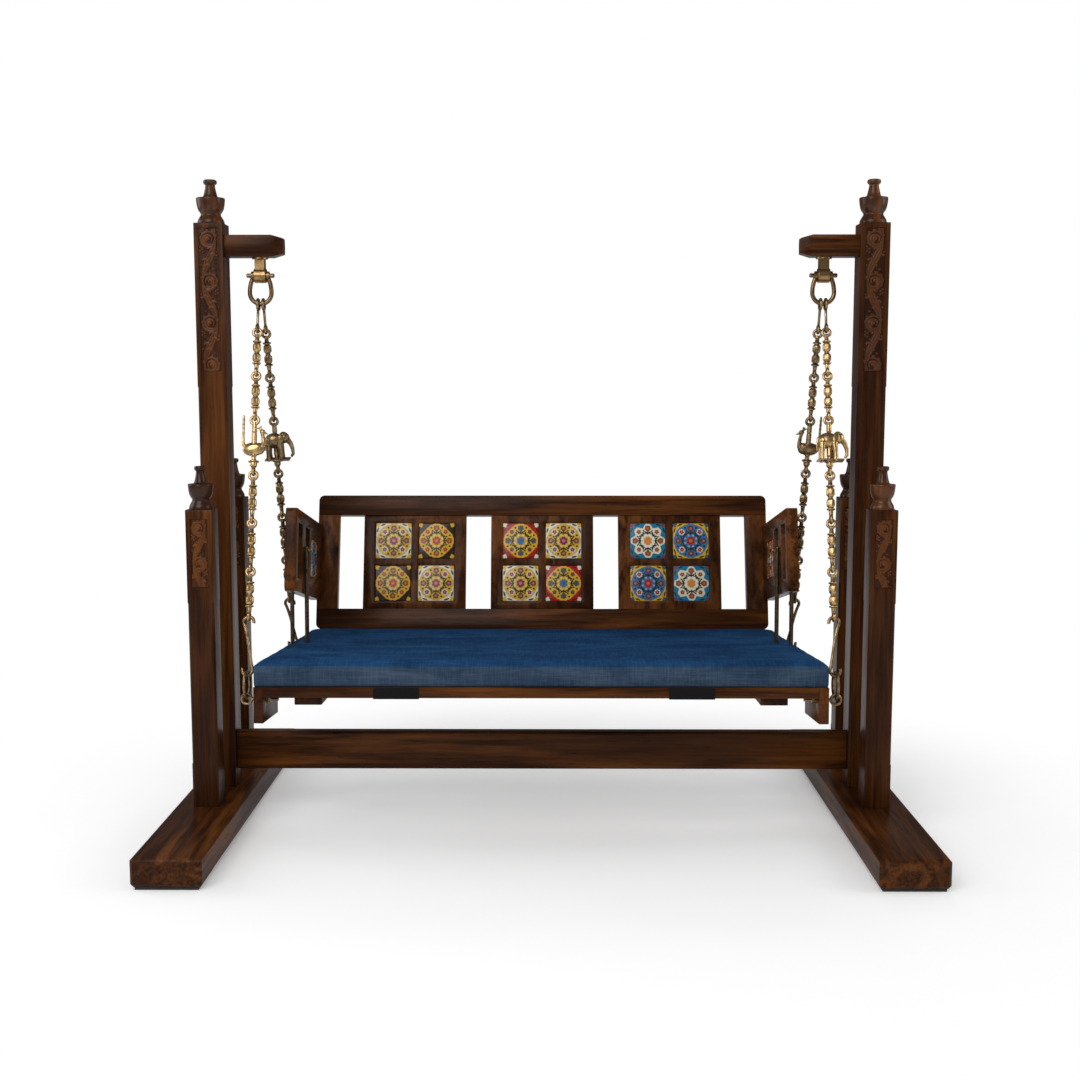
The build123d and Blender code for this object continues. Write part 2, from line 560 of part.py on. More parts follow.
def eye_bolt(end, side):
    """An eye bolt, and its washer and nut, in the cheek's own frame."""
    axis = CHAIN_FOOT_Z + RING_WIRE / 2 + EYE_BOLT_WIRE / 2 + RING_GAP - EYE_BOLT_RADIUS
    eye = Location((EYE_BOLT_OUT, 0, axis)) * Rotation(90, 0, 0) * \
        Torus(EYE_BOLT_RADIUS, EYE_BOLT_WIRE / 2)
    tail = -CHEEK_THICK - EYE_BOLT_END
    bolt = eye + bar_x(tail, EYE_BOLT_OUT - EYE_BOLT_RADIUS, 0, axis, EYE_BOLT_WIRE)
    face = -CHEEK_THICK - SEAT_GAP
    washer = bar_x(face - WASHER_THICK, face, 0, axis, WASHER)
    nut_face = face - WASHER_THICK - SEAT_GAP
    nut = Plane((nut_face, 0, axis), z_dir=(-1, 0, 0)) * \
        extrude(RegularPolygon(NUT_WIDE / 2, 6, major_radius=False), NUT_THICK)
    bore = bar_x(tail, face + 1, 0, axis, EYE_BOLT_WIRE + 2 * GLUE_GAP)
    return corner(end, side) * bolt, [corner(end, side) * (washer - bore),
                                      corner(end, side) * (nut - bore)]


def eye_bolt_hole(end, side):
    """The hole for an eye bolt through a cheek."""
    axis = CHAIN_FOOT_Z + RING_WIRE / 2 + EYE_BOLT_WIRE / 2 + RING_GAP - EYE_BOLT_RADIUS
    return corner(end, side) * bar_x(-2 * CHEEK_THICK, 1, 0, axis, EYE_BOLT_WIRE + 2 * GLUE_GAP)


def strap(x):
    """A band of webbing round the board's front edge, underside and rear edge."""
    inner, outer = SEAT_GAP, SEAT_GAP + STRAP_THICK
    band = block(x - STRAP_WIDE / 2, x + STRAP_WIDE / 2, SEAT_FRONT - outer, SEAT_BACK + outer,
                 BOARD_LOW - outer, BOARD_TOP)
    return band - block(x - STRAP_WIDE, x + STRAP_WIDE, SEAT_FRONT - inner, SEAT_BACK + inner,
                        BOARD_LOW - inner, BOARD_TOP + 1)


# ---- the backrest, drawn upright and then leaned back -----------------------------------
LEAN = Location((0, BACK_Y, BACK_Z)) * Rotation(-BACK_TILT, 0, 0)
SLOT_XS = [n * SLOT_PITCH / 2 for n in (-3, -1, 1, 3)]
PANEL_XS = [n * SLOT_PITCH for n in (-1, 0, 1)]
PANEL_WIDE = SLOT_PITCH - SLOT_WIDE
BACK_BRACKET_SCREWS = (BACK_RAIL / 2, BACK_TALL - BACK_RAIL / 2)


def back_rail(low):
    """A rail of the backrest, with a groove for each panel and a mortise for each stile."""
    wood = block(-BACK_HALF, BACK_HALF, 0, BACK_THICK, low, low + BACK_RAIL)
    outer = low + BACK_RAIL if low > 0 else low
    corners = [edge for edge in wood.edges().filter_by(Axis.Y)
               if abs(edge.center().Z - outer) < 1]
    wood = fillet(corners, BACK_ROUND)
    inner = low if low > 0 else low + BACK_RAIL
    way = 1 if low > 0 else -1
    tongue = tongue_thick() / 2 + GLUE_GAP
    middle = BACK_THICK / 2
    for x in PANEL_XS:
        half = PANEL_WIDE / 2 + GLUE_GAP
        wood -= block(x - half, x + half, middle - tongue, middle + tongue, inner - way,
                      inner + way * (TONGUE + SEAT_GAP))
    stile = (BACK_HALF + SLOT_XS[-1] + SLOT_WIDE / 2) / 2
    for x in (-stile, stile):
        half = STILE_TENON / 2 + GLUE_GAP
        wood -= block(x - half, x + half, middle - tongue, middle + tongue, inner - way,
                      inner + way * (2 * TONGUE + SEAT_GAP))
    return wood


def tongue_thick():
    """Thickness of the panels' tongues and the stiles' tenons."""
    return BACK_THICK / 3


def back_stile(x):
    """An end stile between the rails, with a tenon at each end."""
    inner, outer = SLOT_XS[-1] + SLOT_WIDE / 2, BACK_HALF
    low, high = BACK_RAIL + GLUE_GAP, BACK_TALL - BACK_RAIL - GLUE_GAP
    wood = block(inner, outer, 0, BACK_THICK, low, high)
    middle, half, thick = (inner + outer) / 2, STILE_TENON / 2, tongue_thick() / 2
    wood += block(middle - half, middle + half, BACK_THICK / 2 - thick, BACK_THICK / 2 + thick,
                  low - 2 * TONGUE, high + 2 * TONGUE)
    return wood if x > 0 else across(wood)


def back_panel(x):
    """A panel between the rails with a square pocket for each of its four tiles."""
    half, thick = PANEL_WIDE / 2, PANEL_THICK / 2
    low, high = BACK_RAIL + GLUE_GAP, BACK_TALL - BACK_RAIL - GLUE_GAP
    middle = BACK_THICK / 2
    wood = block(x - half, x + half, middle - thick, middle + thick, low, high)
    slim = tongue_thick() / 2
    wood += block(x - half, x + half, middle - slim, middle + slim, low - TONGUE, high + TONGUE)
    for tx, tz in tile_places(x):
        pocket = TILE / 2 + GLUE_GAP
        face = middle - thick
        wood -= block(tx - pocket, tx + pocket, face - 1, face + TILE_SUNK + TILE_THICK + GLUE_GAP,
                      tz - pocket, tz + pocket)
    return wood


def tile_places(x):
    """Middles of the four tiles of one panel."""
    step = TILE_PITCH / 2
    return [(x + sx * step, BACK_TALL / 2 + sz * step) for sz in (1, -1) for sx in (-1, 1)]


def back_tiles(x):
    """The four glazed tiles of one panel."""
    face = BACK_THICK / 2 - PANEL_THICK / 2 + TILE_SUNK
    half = TILE / 2
    return [block(tx - half, tx + half, face, face + TILE_THICK, tz - half, tz + half)
            for tx, tz in tile_places(x)]


# ---- an arm panel and its two rods, on the right ----------------------------------------
ARM_PLANE = Plane((ARM_IN, ARM_TOP_Y, ARM_TOP_Z),
                  x_dir=(0, cos(radians(ARM_SLOPE)), -sin(radians(ARM_SLOPE))), z_dir=(1, 0, 0))
ARM_TILE_AT = ARM_STILE + 2 * ARM_SLOT + ARM_BAR + ARM_TILE_MARGIN + TILE / 2


def arm_panel():
    """The right arm: a sloping board with two slots and a pocket for a tile inside."""
    outline = Pos(ARM_PANEL_LONG / 2, -ARM_PANEL_HIGH / 2) * \
        Rectangle(ARM_PANEL_LONG, ARM_PANEL_HIGH)
    outline = fillet([v for v in outline.vertices() if v.X < 1], BACK_ROUND)
    slot_high = ARM_SLOT_END - ARM_SLOT_TOP
    for n in (0, 1):
        s = ARM_STILE + ARM_SLOT / 2 + n * (ARM_SLOT + ARM_BAR)
        outline -= Pos(s, -ARM_SLOT_TOP - slot_high / 2) * Rectangle(ARM_SLOT, slot_high)
    wood = ARM_PLANE * extrude(outline, ARM_OUT - ARM_IN)
    pocket = TILE + 2 * GLUE_GAP
    deep = TILE_SUNK + TILE_THICK + GLUE_GAP
    wood -= ARM_PLANE * Pos(ARM_TILE_AT, -ARM_TILE_TOP - TILE / 2, deep / 2) * \
        Box(pocket, pocket, deep)
    behind = block(0, 2 * BACK_HALF, -SEAT_GAP, BACK_TALL, -BACK_TALL, 2 * BACK_TALL)
    wood -= LEAN * behind
    return wood - rod_bolt_hole()


def arm_tile():
    """The tile in the right arm's inner face."""
    middle = TILE_SUNK + TILE_THICK / 2
    return ARM_PLANE * Pos(ARM_TILE_AT, -ARM_TILE_TOP - TILE / 2, middle) * \
        Box(TILE, TILE, TILE_THICK)


def rod_xs():
    """The rods stand against the arm's inner and outer faces."""
    return ARM_IN - ROD_GAP - ROD / 2, ARM_OUT + ROD_GAP + ROD / 2


def rod(x):
    """A brass rod on a flange, with a stud below it into the board."""
    foot = BOARD_TOP + SEAT_GAP
    stick = upright(x, ROD_Y, foot, ROD_TOP, ROD)
    stick = fillet(stick.faces().sort_by(Axis.Z)[-1].edges(), 3)
    stick += upright(x, ROD_Y, foot, foot + ROD_FLANGE_THICK, ROD_FLANGE)
    stick += upright(x, ROD_Y, BOARD_TOP - ROD_STUD_DEEP, foot, ROD_STUD)
    return stick - rod_bolt_hole()


def rod_bolt_hole():
    """The cross hole through both rods and the arm."""
    z = ROD_TOP - ROD_BOLT_DROP
    return bar_x(ARM_IN - 50, ARM_OUT + 50, ROD_Y, z, ROD_BOLT + 2 * GLUE_GAP)


def rod_bolt():
    """The clamp bolt: its domed head lies outside."""
    inner, outer = rod_xs()
    z = ROD_TOP - ROD_BOLT_DROP
    face = outer + ROD / 2 + SEAT_GAP
    head = bar_x(face, face + ROD_BOLT_HEAD_HIGH, ROD_Y, z, ROD_BOLT_HEAD)
    head = fillet(head.faces().sort_by(Axis.X)[-1].edges(), ROD_BOLT_HEAD_HIGH * 0.625)
    end = inner - ROD / 2 - acorn_deep()
    return head + bar_x(end, face, ROD_Y, z, ROD_BOLT)


def acorn_deep():
    """How far the clamp bolt reaches past the inner rod, into the acorn nut."""
    return ACORN_HEX + ACORN_DOME / 2 - ACORN_SKIN - SEAT_GAP


def rod_nut():
    """The acorn nut on the clamp bolt's inner end."""
    inner, _ = rod_xs()
    z = ROD_TOP - ROD_BOLT_DROP
    face = inner - ROD / 2 - SEAT_GAP
    nut = Plane((face, ROD_Y, z), z_dir=(-1, 0, 0)) * \
        extrude(RegularPolygon(ACORN_WIDE / 2, 6, major_radius=False), ACORN_HEX)
    dome = Location((face - ACORN_HEX, ROD_Y, z)) * Sphere(ACORN_DOME / 2)
    deep = ACORN_HEX + ACORN_DOME / 2 - ACORN_SKIN
    return nut + dome - bar_x(face + 1, face - deep, ROD_Y, z, ROD_BOLT + 2 * GLUE_GAP)


# ---- brackets behind the backrest, on the right -------------------------------------------
def bracket_bend():
    """Where the bracket leaves the board's rear edge for the slope of the backrest."""
    y = SEAT_BACK + SEAT_GAP
    lean = radians(BACK_TILT)
    back_y = BACK_Y + (BACK_THICK + SEAT_GAP) * cos(lean)
    back_z = BACK_Z - (BACK_THICK + SEAT_GAP) * sin(lean)
    return y, back_z + (y - back_y) / tan(lean)


def bracket():
    """A flat steel bar from the board's rear edge up the back of the backrest."""
    y, z = bracket_bend()
    lean = radians(BACK_TILT)
    tip_y, tip_z = y + BRACKET_UP * sin(lean), z + BRACKET_UP * cos(lean)
    skew = BRACKET_THICK * tan(lean / 2)
    off_y, off_z = BRACKET_THICK * cos(lean), -BRACKET_THICK * sin(lean)
    profile = make_face(Plane.YZ * Polyline(
        (y, BOARD_LOW), (y, z), (tip_y, tip_z), (tip_y + off_y, tip_z + off_z),
        (y + BRACKET_THICK, z - skew), (y + BRACKET_THICK, BOARD_LOW), close=True))
    bar = Pos(BRACKET_X, 0, 0) * extrude(profile, BRACKET_WIDE / 2, both=True)
    for hole in screw_shanks(GLUE_GAP):
        bar -= hole
    return bar


def screw(x, y, z, lean, grow=0.0):
    """A round-headed screw that goes in towards the front."""
    long = SCREW_LONG + (SEAT_GAP if grow else 0)
    shank = Location((0, 1 - long / 2, 0)) * Rotation(90, 0, 0) * \
        Cylinder(SCREW / 2 + grow, long + 2)
    if not grow:
        head = Location((0, SCREW_HEAD_HIGH / 2, 0)) * Rotation(90, 0, 0) * \
            Cylinder(SCREW_HEAD / 2, SCREW_HEAD_HIGH)
        shank += fillet(head.faces().sort_by(Axis.Y)[-1].edges(), 1.5)
    return Location((x, y, z)) * Rotation(-lean, 0, 0) * shank


def screw_shanks(grow):
    """The screws of the right bracket: two in the board's edge and one in each rail."""
    face = SEAT_BACK + SEAT_GAP + BRACKET_THICK + SEAT_GAP
    middle = (BOARD_LOW + BOARD_TOP) / 2
    found = [screw(BRACKET_X + dx, face, middle, 0, grow) for dx in (-11, 11)]
    for up in BACK_BRACKET_SCREWS:
        place = LEAN * Pos(BRACKET_X, BACK_THICK + BRACKET_THICK + 2 * SEAT_GAP, up)
        at = place.position
        found.append(screw(at.X, at.Y, at.Z, BACK_TILT, grow))
    return found


def arm_screws(grow=0.0):
    """Two long screws through the right end of the backrest into the arm's end."""
    x = (ARM_IN + BACK_HALF) / 2
    found = []
    for up in (ARM_SCREW_LOW, ARM_SCREW_HIGH):
        shank = Location((0, BACK_THICK + 1 - ARM_SCREW_LONG / 2, 0)) * Rotation(90, 0, 0) * \
            Cylinder(ARM_SCREW / 2 + grow, ARM_SCREW_LONG + (2 * SEAT_GAP if grow else 0))
        if not grow:
            head = BACK_THICK + SEAT_GAP + ARM_SCREW_HEAD_HIGH / 2
            shank += Location((0, head, 0)) * Rotation(90, 0, 0) * \
                Cylinder(ARM_SCREW_HEAD / 2, ARM_SCREW_HEAD_HIGH)
        found.append(LEAN * Pos(x, 0, up) * shank)
    return found


def with_holes(shape, holes):
    """A piece with every hole cut."""
    for hole in holes:
        shape -= hole
    return shape


def both(holes):
    """The holes on the right and on the left."""
    return holes + [across(hole) for hole in holes]


# ---- write the stand ------------------------------------------------------------------------
for side_name, side in SIDES:
    save(f"foot_{side_name}", foot(side * POST_X))
    save(f"tall_post_{side_name}", tall_post(side * POST_X))
    for end_name, end in ENDS:
        y = end * SHORT_POST_Y
        save(f"short_post_{end_name}_{side_name}",
             post(side * POST_X, y, SHORT_POST, SHORT_POST_TOP, SHORT_PANEL_LOW,
                  SHORT_POST_TOP - SHORT_PANEL_TOP_GAP))
save("tall_finials", *[finial(side * POST_X, 0, POST_TOP, TALL_BOWL, TALL_FINIAL)
                       for _, side in SIDES])
save("short_finials", *[finial(side * POST_X, end * SHORT_POST_Y, SHORT_POST_TOP, SHORT_BOWL,
                               SHORT_FINIAL) for _, side in SIDES for _, end in ENDS])
save("foot_pads", *[pad for _, side in SIDES for pad in foot_pads(side * POST_X)])
save("foot_bolts", *[foot_bolt(side * POST_X, y) for _, side in SIDES
                     for y in (-SHORT_POST_Y, 0, SHORT_POST_Y)])
save("stretcher", stretcher())
save("hanger_arm_left", hanger_arm())
save("hanger_arm_right", across(hanger_arm()))
save("hanger_eyes", hanger_eye(), across(hanger_eye()))

# ---- write the shackles and the chains --------------------------------------------------------
pin, bow = hung(shackle_pin()), hung(shackle_bow())
save("shackle_pin_left", pin)
save("shackle_pin_right", across(pin))
save("shackle_bow_left", bow)
save("shackle_bow_right", across(bow))
for side_name, side in SIDES:
    chains = {end_name: chain(end, side) for end_name, end in ENDS}
    save(f"top_hooks_{side_name}", *[hung(chains[end]["hook"]) for end in chains])
    save(f"s_hooks_{side_name}", *[hung(chains[end]["s_hook"]) for end in chains])
    save(f"rings_{side_name}", *[hung(chains[end]["ring"]) for end in chains])
    for end_name, end in ENDS:
        pieces = chains[end_name]
        save(f"chain_links_{end_name}_{side_name}", *[hung(link) for link in pieces["links"]])
        figure = "peacock" if end == side else "elephant"
        save(f"{figure}_{side_name}", hung(pieces["figure"]))

# ---- write the seat ---------------------------------------------------------------------------
CORNERS = [(end, side) for _, end in ENDS for _, side in SIDES]
rod_x_in, rod_x_out = rod_xs()
rod_holes = [upright(x, ROD_Y, BOARD_TOP - ROD_STUD_DEEP - SEAT_GAP, BOARD_TOP + 1,
                     ROD_STUD + 2 * GLUE_GAP) for x in (rod_x_in, rod_x_out)]
board = Pos(0, 0, BOARD_LOW) * extrude(seat_outline(0), BOARD_THICK)
board = with_holes(board, [cheek(end, side, GLUE_GAP) for end, side in CORNERS])
board = with_holes(board, both(rod_holes + screw_shanks(GLUE_GAP)[:2]))
save("seat_board", hung(board))

cushion_low = BOARD_TOP + SEAT_GAP
cushion = Pos(0, 0, cushion_low) * extrude(seat_outline(2), CUSHION_THICK - SEAT_GAP)
slit_end = rod_x_in - CUSHION_SLIT / 2
slit = block(slit_end, 2 * BACK_HALF, ROD_Y - CUSHION_SLIT / 2, ROD_Y + CUSHION_SLIT / 2,
             cushion_low - 1, BOARD_TOP + CUSHION_THICK + 1)
flange_room = [upright(x, ROD_Y, cushion_low - 1, cushion_low + ROD_FLANGE_THICK + SEAT_GAP,
                       ROD_FLANGE + 2 * SEAT_GAP) for x in (rod_x_in, rod_x_out)]
cushion = with_holes(cushion, both([slit] + flange_room))
save("cushion", hung(cushion))

for side_name, side in SIDES:
    cheeks = [cheek(end, side) - eye_bolt_hole(end, side) for _, end in ENDS]
    save(f"cheek_blocks_{side_name}", *[hung(piece) for piece in cheeks])
bolts = [eye_bolt(end, side) for end, side in CORNERS]
save("eye_bolts", *[hung(bolt) for bolt, _ in bolts])
save("eye_bolt_nuts", *[hung(nut) for _, nuts in bolts for nut in nuts])
battens = [block(side * BATTEN_X - BATTEN_WIDE / 2, side * BATTEN_X + BATTEN_WIDE / 2,
                 SEAT_FRONT + BATTEN_END_GAP, SEAT_BACK - BATTEN_END_GAP,
                 BOARD_LOW - SEAT_GAP - BATTEN_THICK, BOARD_LOW - SEAT_GAP) for _, side in SIDES]
save("seat_battens", *[hung(batten) for batten in battens])
save("cushion_straps", *[hung(strap(x)) for x in STRAP_X])

screw_holes = both(screw_shanks(GLUE_GAP)[2:] + arm_screws(GLUE_GAP))
save("backrest_top_rail", hung(with_holes(LEAN * back_rail(BACK_TALL - BACK_RAIL), screw_holes)))
save("backrest_bottom_rail", hung(with_holes(LEAN * back_rail(0), screw_holes)))
save("backrest_stiles", *[hung(with_holes(LEAN * back_stile(side), screw_holes))
                          for _, side in SIDES])
for name, x in zip(("left", "middle", "right"), PANEL_XS):
    save(f"backrest_panel_{name}", hung(LEAN * back_panel(x)))
    save(f"backrest_tiles_{name}", *[hung(LEAN * tile) for tile in back_tiles(x)])

arm = hung(with_holes(arm_panel(), arm_screws(GLUE_GAP)))
save("arm_panel_left", across(arm))
save("arm_panel_right", arm)
save("arm_tiles", hung(arm_tile()), across(hung(arm_tile())))
rods = [hung(rod(x)) for x in rod_xs()]
save("arm_rods", *both(rods))
save("rod_clamp_bolts", hung(rod_bolt()), across(hung(rod_bolt())))
save("rod_acorn_nuts", hung(rod_nut()), across(hung(rod_nut())))
save("backrest_brackets", hung(bracket()), across(hung(bracket())))
fixings = [hung(piece) for piece in screw_shanks(0) + arm_screws()]
save("backrest_screws", *both(fixings))
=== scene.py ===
from math import atan2, cos, exp, pi, radians, sin, sqrt, tan

import bpy
from bpy.props import FloatProperty, FloatVectorProperty, IntProperty, PointerProperty
from bpy.types import Operator, Panel, PropertyGroup
from mathutils import Matrix, Vector, kdtree, noise


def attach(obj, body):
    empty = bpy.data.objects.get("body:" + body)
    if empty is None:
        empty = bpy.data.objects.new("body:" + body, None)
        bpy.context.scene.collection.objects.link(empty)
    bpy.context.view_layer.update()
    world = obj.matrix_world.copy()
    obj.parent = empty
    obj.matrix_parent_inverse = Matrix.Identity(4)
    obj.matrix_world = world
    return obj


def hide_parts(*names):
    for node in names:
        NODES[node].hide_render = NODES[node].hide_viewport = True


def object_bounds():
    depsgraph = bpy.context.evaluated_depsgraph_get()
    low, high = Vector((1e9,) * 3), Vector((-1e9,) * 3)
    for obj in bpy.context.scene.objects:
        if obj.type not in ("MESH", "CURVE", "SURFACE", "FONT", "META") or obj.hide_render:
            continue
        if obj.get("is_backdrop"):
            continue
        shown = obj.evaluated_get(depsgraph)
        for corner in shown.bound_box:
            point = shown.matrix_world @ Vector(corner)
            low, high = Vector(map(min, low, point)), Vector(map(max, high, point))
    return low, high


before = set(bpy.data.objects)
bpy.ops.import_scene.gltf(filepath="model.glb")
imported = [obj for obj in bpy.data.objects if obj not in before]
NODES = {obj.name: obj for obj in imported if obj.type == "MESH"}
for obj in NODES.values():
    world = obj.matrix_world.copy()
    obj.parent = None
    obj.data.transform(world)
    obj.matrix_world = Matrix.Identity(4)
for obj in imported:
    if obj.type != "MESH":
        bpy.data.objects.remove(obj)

bl_info = {
    "name": "Jhoola swing",
    "version": (1, 0, 0),
    "blender": (4, 5, 0),
    "location": "3D View > Sidebar > Jhoola",
    "description": "A carved wooden swing seat hung on brass figure chains",
    "category": "Object",
}

CAD_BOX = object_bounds()

# ---- the part's own sizes, in metres ------------------------------------------------
POST_X, TALL_POST, SHORT_POST, SHORT_POST_Y = 0.828, 0.072, 0.064, 0.175
POST_TOP, SHORT_POST_TOP = 1.512, 0.812
TALL_FINIAL, SHORT_FINIAL = (0.071, 0.109), (0.061, 0.105)
PANEL_BORDER, PANEL_DEEP = 0.011, 0.003
TALL_PANEL = (1.146, 1.499)
SHORT_PANEL = (0.623, 0.790)
PIN_Z, HANG_TILT = 1.385, radians(2.5)
CHAIN_TOP_Z, CHAIN_FOOT_Y, CHAIN_FOOT_Z = 1.3148, 0.240, 0.3566
CHAIN_XS = {-1: (0.7135, 0.704), 1: (0.7005, 0.676)}
HOOK_END, SHORT_PITCH, FIGURE_PITCH, LONG_PITCH = 0.070, 0.1135, 0.140, 0.120
SHORT_BODY, LONG_BODY = 0.059, 0.061
FIGURE_AT = HOOK_END + 2 * SHORT_PITCH
LOWER_AT = FIGURE_AT + FIGURE_PITCH
FIGURE_FLANGE, CAST_GRAIN = 0.109, 0.0008
EYE_WIRE, FRONT_EYE, SIDE_EYE, EYE_CLEAR = 0.0075, 0.00975, 0.00875, 0.00015
SEAT_FRONT, SEAT_BACK, BOARD_TOP = -0.280, 0.320, 0.389
CUSHION_TALL, REAR_LIFT = 0.055, 0.0060
BACK_Y, BACK_Z, BACK_TILT = 0.290, 0.452, radians(13)
BACK_TALL, PANEL_FACE, TILE, TILE_PITCH, PANEL_PITCH = 0.376, 0.003, 0.100, 0.120, 0.356
ARM_IN, ARM_TOP_Y, ARM_TOP_Z, ARM_SLOPE = 0.616, -0.045, 0.805, radians(10)
ARM_TILE_S, ARM_TILE_N = 0.282, 0.105
TILE_SUNK, TILE_THICK = 0.0015, 0.007

SIDES = (("left", -1), ("right", 1))
ENDS = (("front", -1), ("rear", 1))
HANG = (Matrix.Translation((0, 0, PIN_Z)) @ Matrix.Rotation(-HANG_TILT, 4, "X")
        @ Matrix.Translation((0, 0, -PIN_Z)))
BACKREST = HANG @ Matrix.Translation((0, BACK_Y, BACK_Z)) @ Matrix.Rotation(-BACK_TILT, 4, "X")


# ---- what a user would change ---------------------------------------------------------
def tint(name, colour, description):
    """A colour that a user may change."""
    return FloatVectorProperty(name=name, default=colour, description=description,
                               subtype="COLOR")


def span(name, metres, description):
    """A length that a user may change."""
    return FloatProperty(name=name, default=metres, description=description, unit="LENGTH")


class WoodLook(PropertyGroup):
    """Sheesham under dark gloss lacquer."""
    pale: tint("Pale grain", (0.165, 0.053, 0.011), "Colour of the pale streaks")
    dark: tint("Dark grain", (0.020, 0.0062, 0.0026), "Colour of the dark streaks")
    edge: span("Edge rounding", 0.0022, "Radius of the sanded edges")
    relief: span("Carving depth", 0.0033, "Height of the carved vine above its ground")


class BrassLook(PropertyGroup):
    """Cast brass, bright on the front chains and tarnished on the others."""
    bright: tint("Bright brass", (0.74, 0.50, 0.23), "Colour of polished brass")
    antique: tint("Antique brass", (0.45, 0.31, 0.16), "Colour of tarnished brass")
    dirt: tint("Tarnish", (0.06, 0.034, 0.016), "Colour of the tarnish in hollows")


class TileLook(PropertyGroup):
    """Hand-painted glazed tiles."""
    cream: tint("Cream", (0.74, 0.68, 0.54), "Pale ground glaze")
    yellow: tint("Yellow", (0.66, 0.385, 0.022), "Yellow glaze")
    red: tint("Red", (0.40, 0.012, 0.010), "Red glaze")
    plum: tint("Plum", (0.22, 0.010, 0.055), "Plum glaze")
    blue: tint("Blue", (0.05, 0.155, 0.36), "Blue glaze")
    teal: tint("Sea blue", (0.012, 0.17, 0.30), "Sea blue glaze")
    brown: tint("Brown", (0.030, 0.010, 0.005), "Brown glaze")
    leaf: tint("Leaf", (0.014, 0.030, 0.008), "Dark leaf paint")


class CushionLook(PropertyGroup):
    """A foam cushion in slubby blue cloth."""
    # The top's and the sides' colours are one cloth painted apart as painted light and shade: the
    # top darker and bluer, the sides greyer.
    blue: tint("Blue thread", (0.006, 0.030, 0.090), "Main colour of the top")
    pale: tint("Pale slub", (0.020, 0.095, 0.235), "Colour of the top's worn, slubby threads")
    side: tint("Side thread", (0.020, 0.042, 0.080), "Main colour of the sides")
    side_pale: tint("Pale side slub", (0.075, 0.115, 0.170), "Colour of the sides' slubs")
    pressure: FloatProperty(name="Filling", default=3.0, min=0.0, max=10.0,
                            description="How hard the filling presses on the cover")
    swell: span("Largest swell", 0.007, "How far the cover may stand out of the foam block")
    voxel: span("Cloth grid", 0.008, "Size of the cover's mesh")
    seam: span("Seam", 0.0016, "How far the seam round top and bottom stands out")
    droop: span("Front droop", 0.0045, "How far the front hangs over the board's edge")


class ChainLook(PropertyGroup):
    """The cast links."""
    sides: IntProperty(name="Roundness", default=40, min=8, max=64,
                       description="Number of flats round each turned link")
    flange: span("Flange", 0.021, "Width across a link's flanges")
    bead: span("Bead", 0.0205, "Width across a link's beads")


class StageLook(PropertyGroup):
    """Floor, lights and camera."""
    key: FloatProperty(name="Key light", default=95.0, min=0.0, unit="POWER",
                       description="Power of the large soft lamp in front")
    fill: FloatProperty(name="Fill light", default=40.0, min=0.0, unit="POWER",
                        description="Power of the soft lamps at the sides")
    world: FloatProperty(name="Surroundings", default=0.4, min=0.0,
                         description="Brightness of the pale room round the swing")
    mirror: FloatProperty(name="Mirrored surroundings", default=0.14, min=0.0,
                          description="Brightness of the room in reflections")
    lens: FloatProperty(name="Focal length", default=45.78, unit="CAMERA",
                        description="Focal length on a 36 mm sensor")


LOOKS = {"jhoola_wood": WoodLook, "jhoola_brass": BrassLook, "jhoola_tiles": TileLook,
         "jhoola_cushion": CushionLook, "jhoola_chain": ChainLook, "jhoola_stage": StageLook}


# ---- mesh helpers -----------------------------------------------------------------------
def deselect():
    """Leave nothing selected, in object mode."""
    if bpy.context.mode != "OBJECT":
        bpy.ops.object.mode_set(mode="OBJECT")
    bpy.ops.object.select_all(action="DESELECT")


def take(*objects):
    """Select these objects alone and make the first one active."""
    deselect()
    for obj in objects:
        obj.select_set(True)
    bpy.context.view_layer.objects.active = objects[0]
    return objects[0]


def edit_all(obj):
    """Open a piece in edit mode with all of it selected."""
    take(obj)
    bpy.ops.object.mode_set(mode="EDIT")
    bpy.ops.mesh.select_all(action="SELECT")


def named(obj, name):
    """Name an object and its mesh alike."""
    obj.name = obj.data.name = name
    return obj


def fresh(name):
    """Name the primitive that was just added and set its place into its mesh."""
    bpy.ops.object.transform_apply(location=True, rotation=True, scale=True)
    return named(bpy.context.active_object, name)


def modify(obj, kind, **settings):
    """Add a modifier, set it and apply it."""
    take(obj)
    modifier = obj.modifiers.new(kind.lower(), kind)
    for key, value in settings.items():
        setattr(modifier, key, value)
    bpy.ops.object.modifier_apply(modifier=modifier.name)
    return obj


def remesh(obj, grain, rounds):
    """Melt a piece into one even skin and smooth it."""
    take(obj)
    obj.data.remesh_voxel_size = grain
    bpy.ops.object.voxel_remesh()
    return modify(obj, "SMOOTH", factor=0.5, iterations=rounds)


def smooth(obj, angle=35):
    """Smooth shading that keeps the sharp edges."""
    take(obj)
    bpy.ops.object.shade_smooth_by_angle(angle=radians(angle))
    return obj


def tidy(obj, merge=2e-5):
    """Merge doubled points and turn every face outward."""
    edit_all(obj)
    bpy.ops.mesh.remove_doubles(threshold=merge)
    bpy.ops.mesh.normals_make_consistent(inside=False)
    bpy.ops.object.mode_set(mode="OBJECT")
    return obj


def joined(name, pieces):
    """Make one object of several."""
    obj = take(*pieces)
    if len(pieces) > 1:
        bpy.ops.object.join()
    return named(obj, name)


def copied(obj, matrix, name):
    """A copy with its own mesh, placed by a matrix."""
    copy = obj.copy()
    copy.data = obj.data.copy()
    copy.data.transform(matrix)
    if matrix.determinant() < 0:
        copy.data.flip_normals()
    bpy.context.collection.objects.link(copy)
    return named(copy, name)


def node_copy(node, matrix, name):
    """A copy of a CAD piece that stands free of it."""
    piece = copied(NODES[node], matrix, name)
    piece.parent = None
    piece.matrix_world = Matrix.Identity(4)
    return piece


def discard(*objects):
    """Remove the patterns that copies were made from."""
    for obj in objects:
        bpy.data.objects.remove(obj, do_unlink=True)


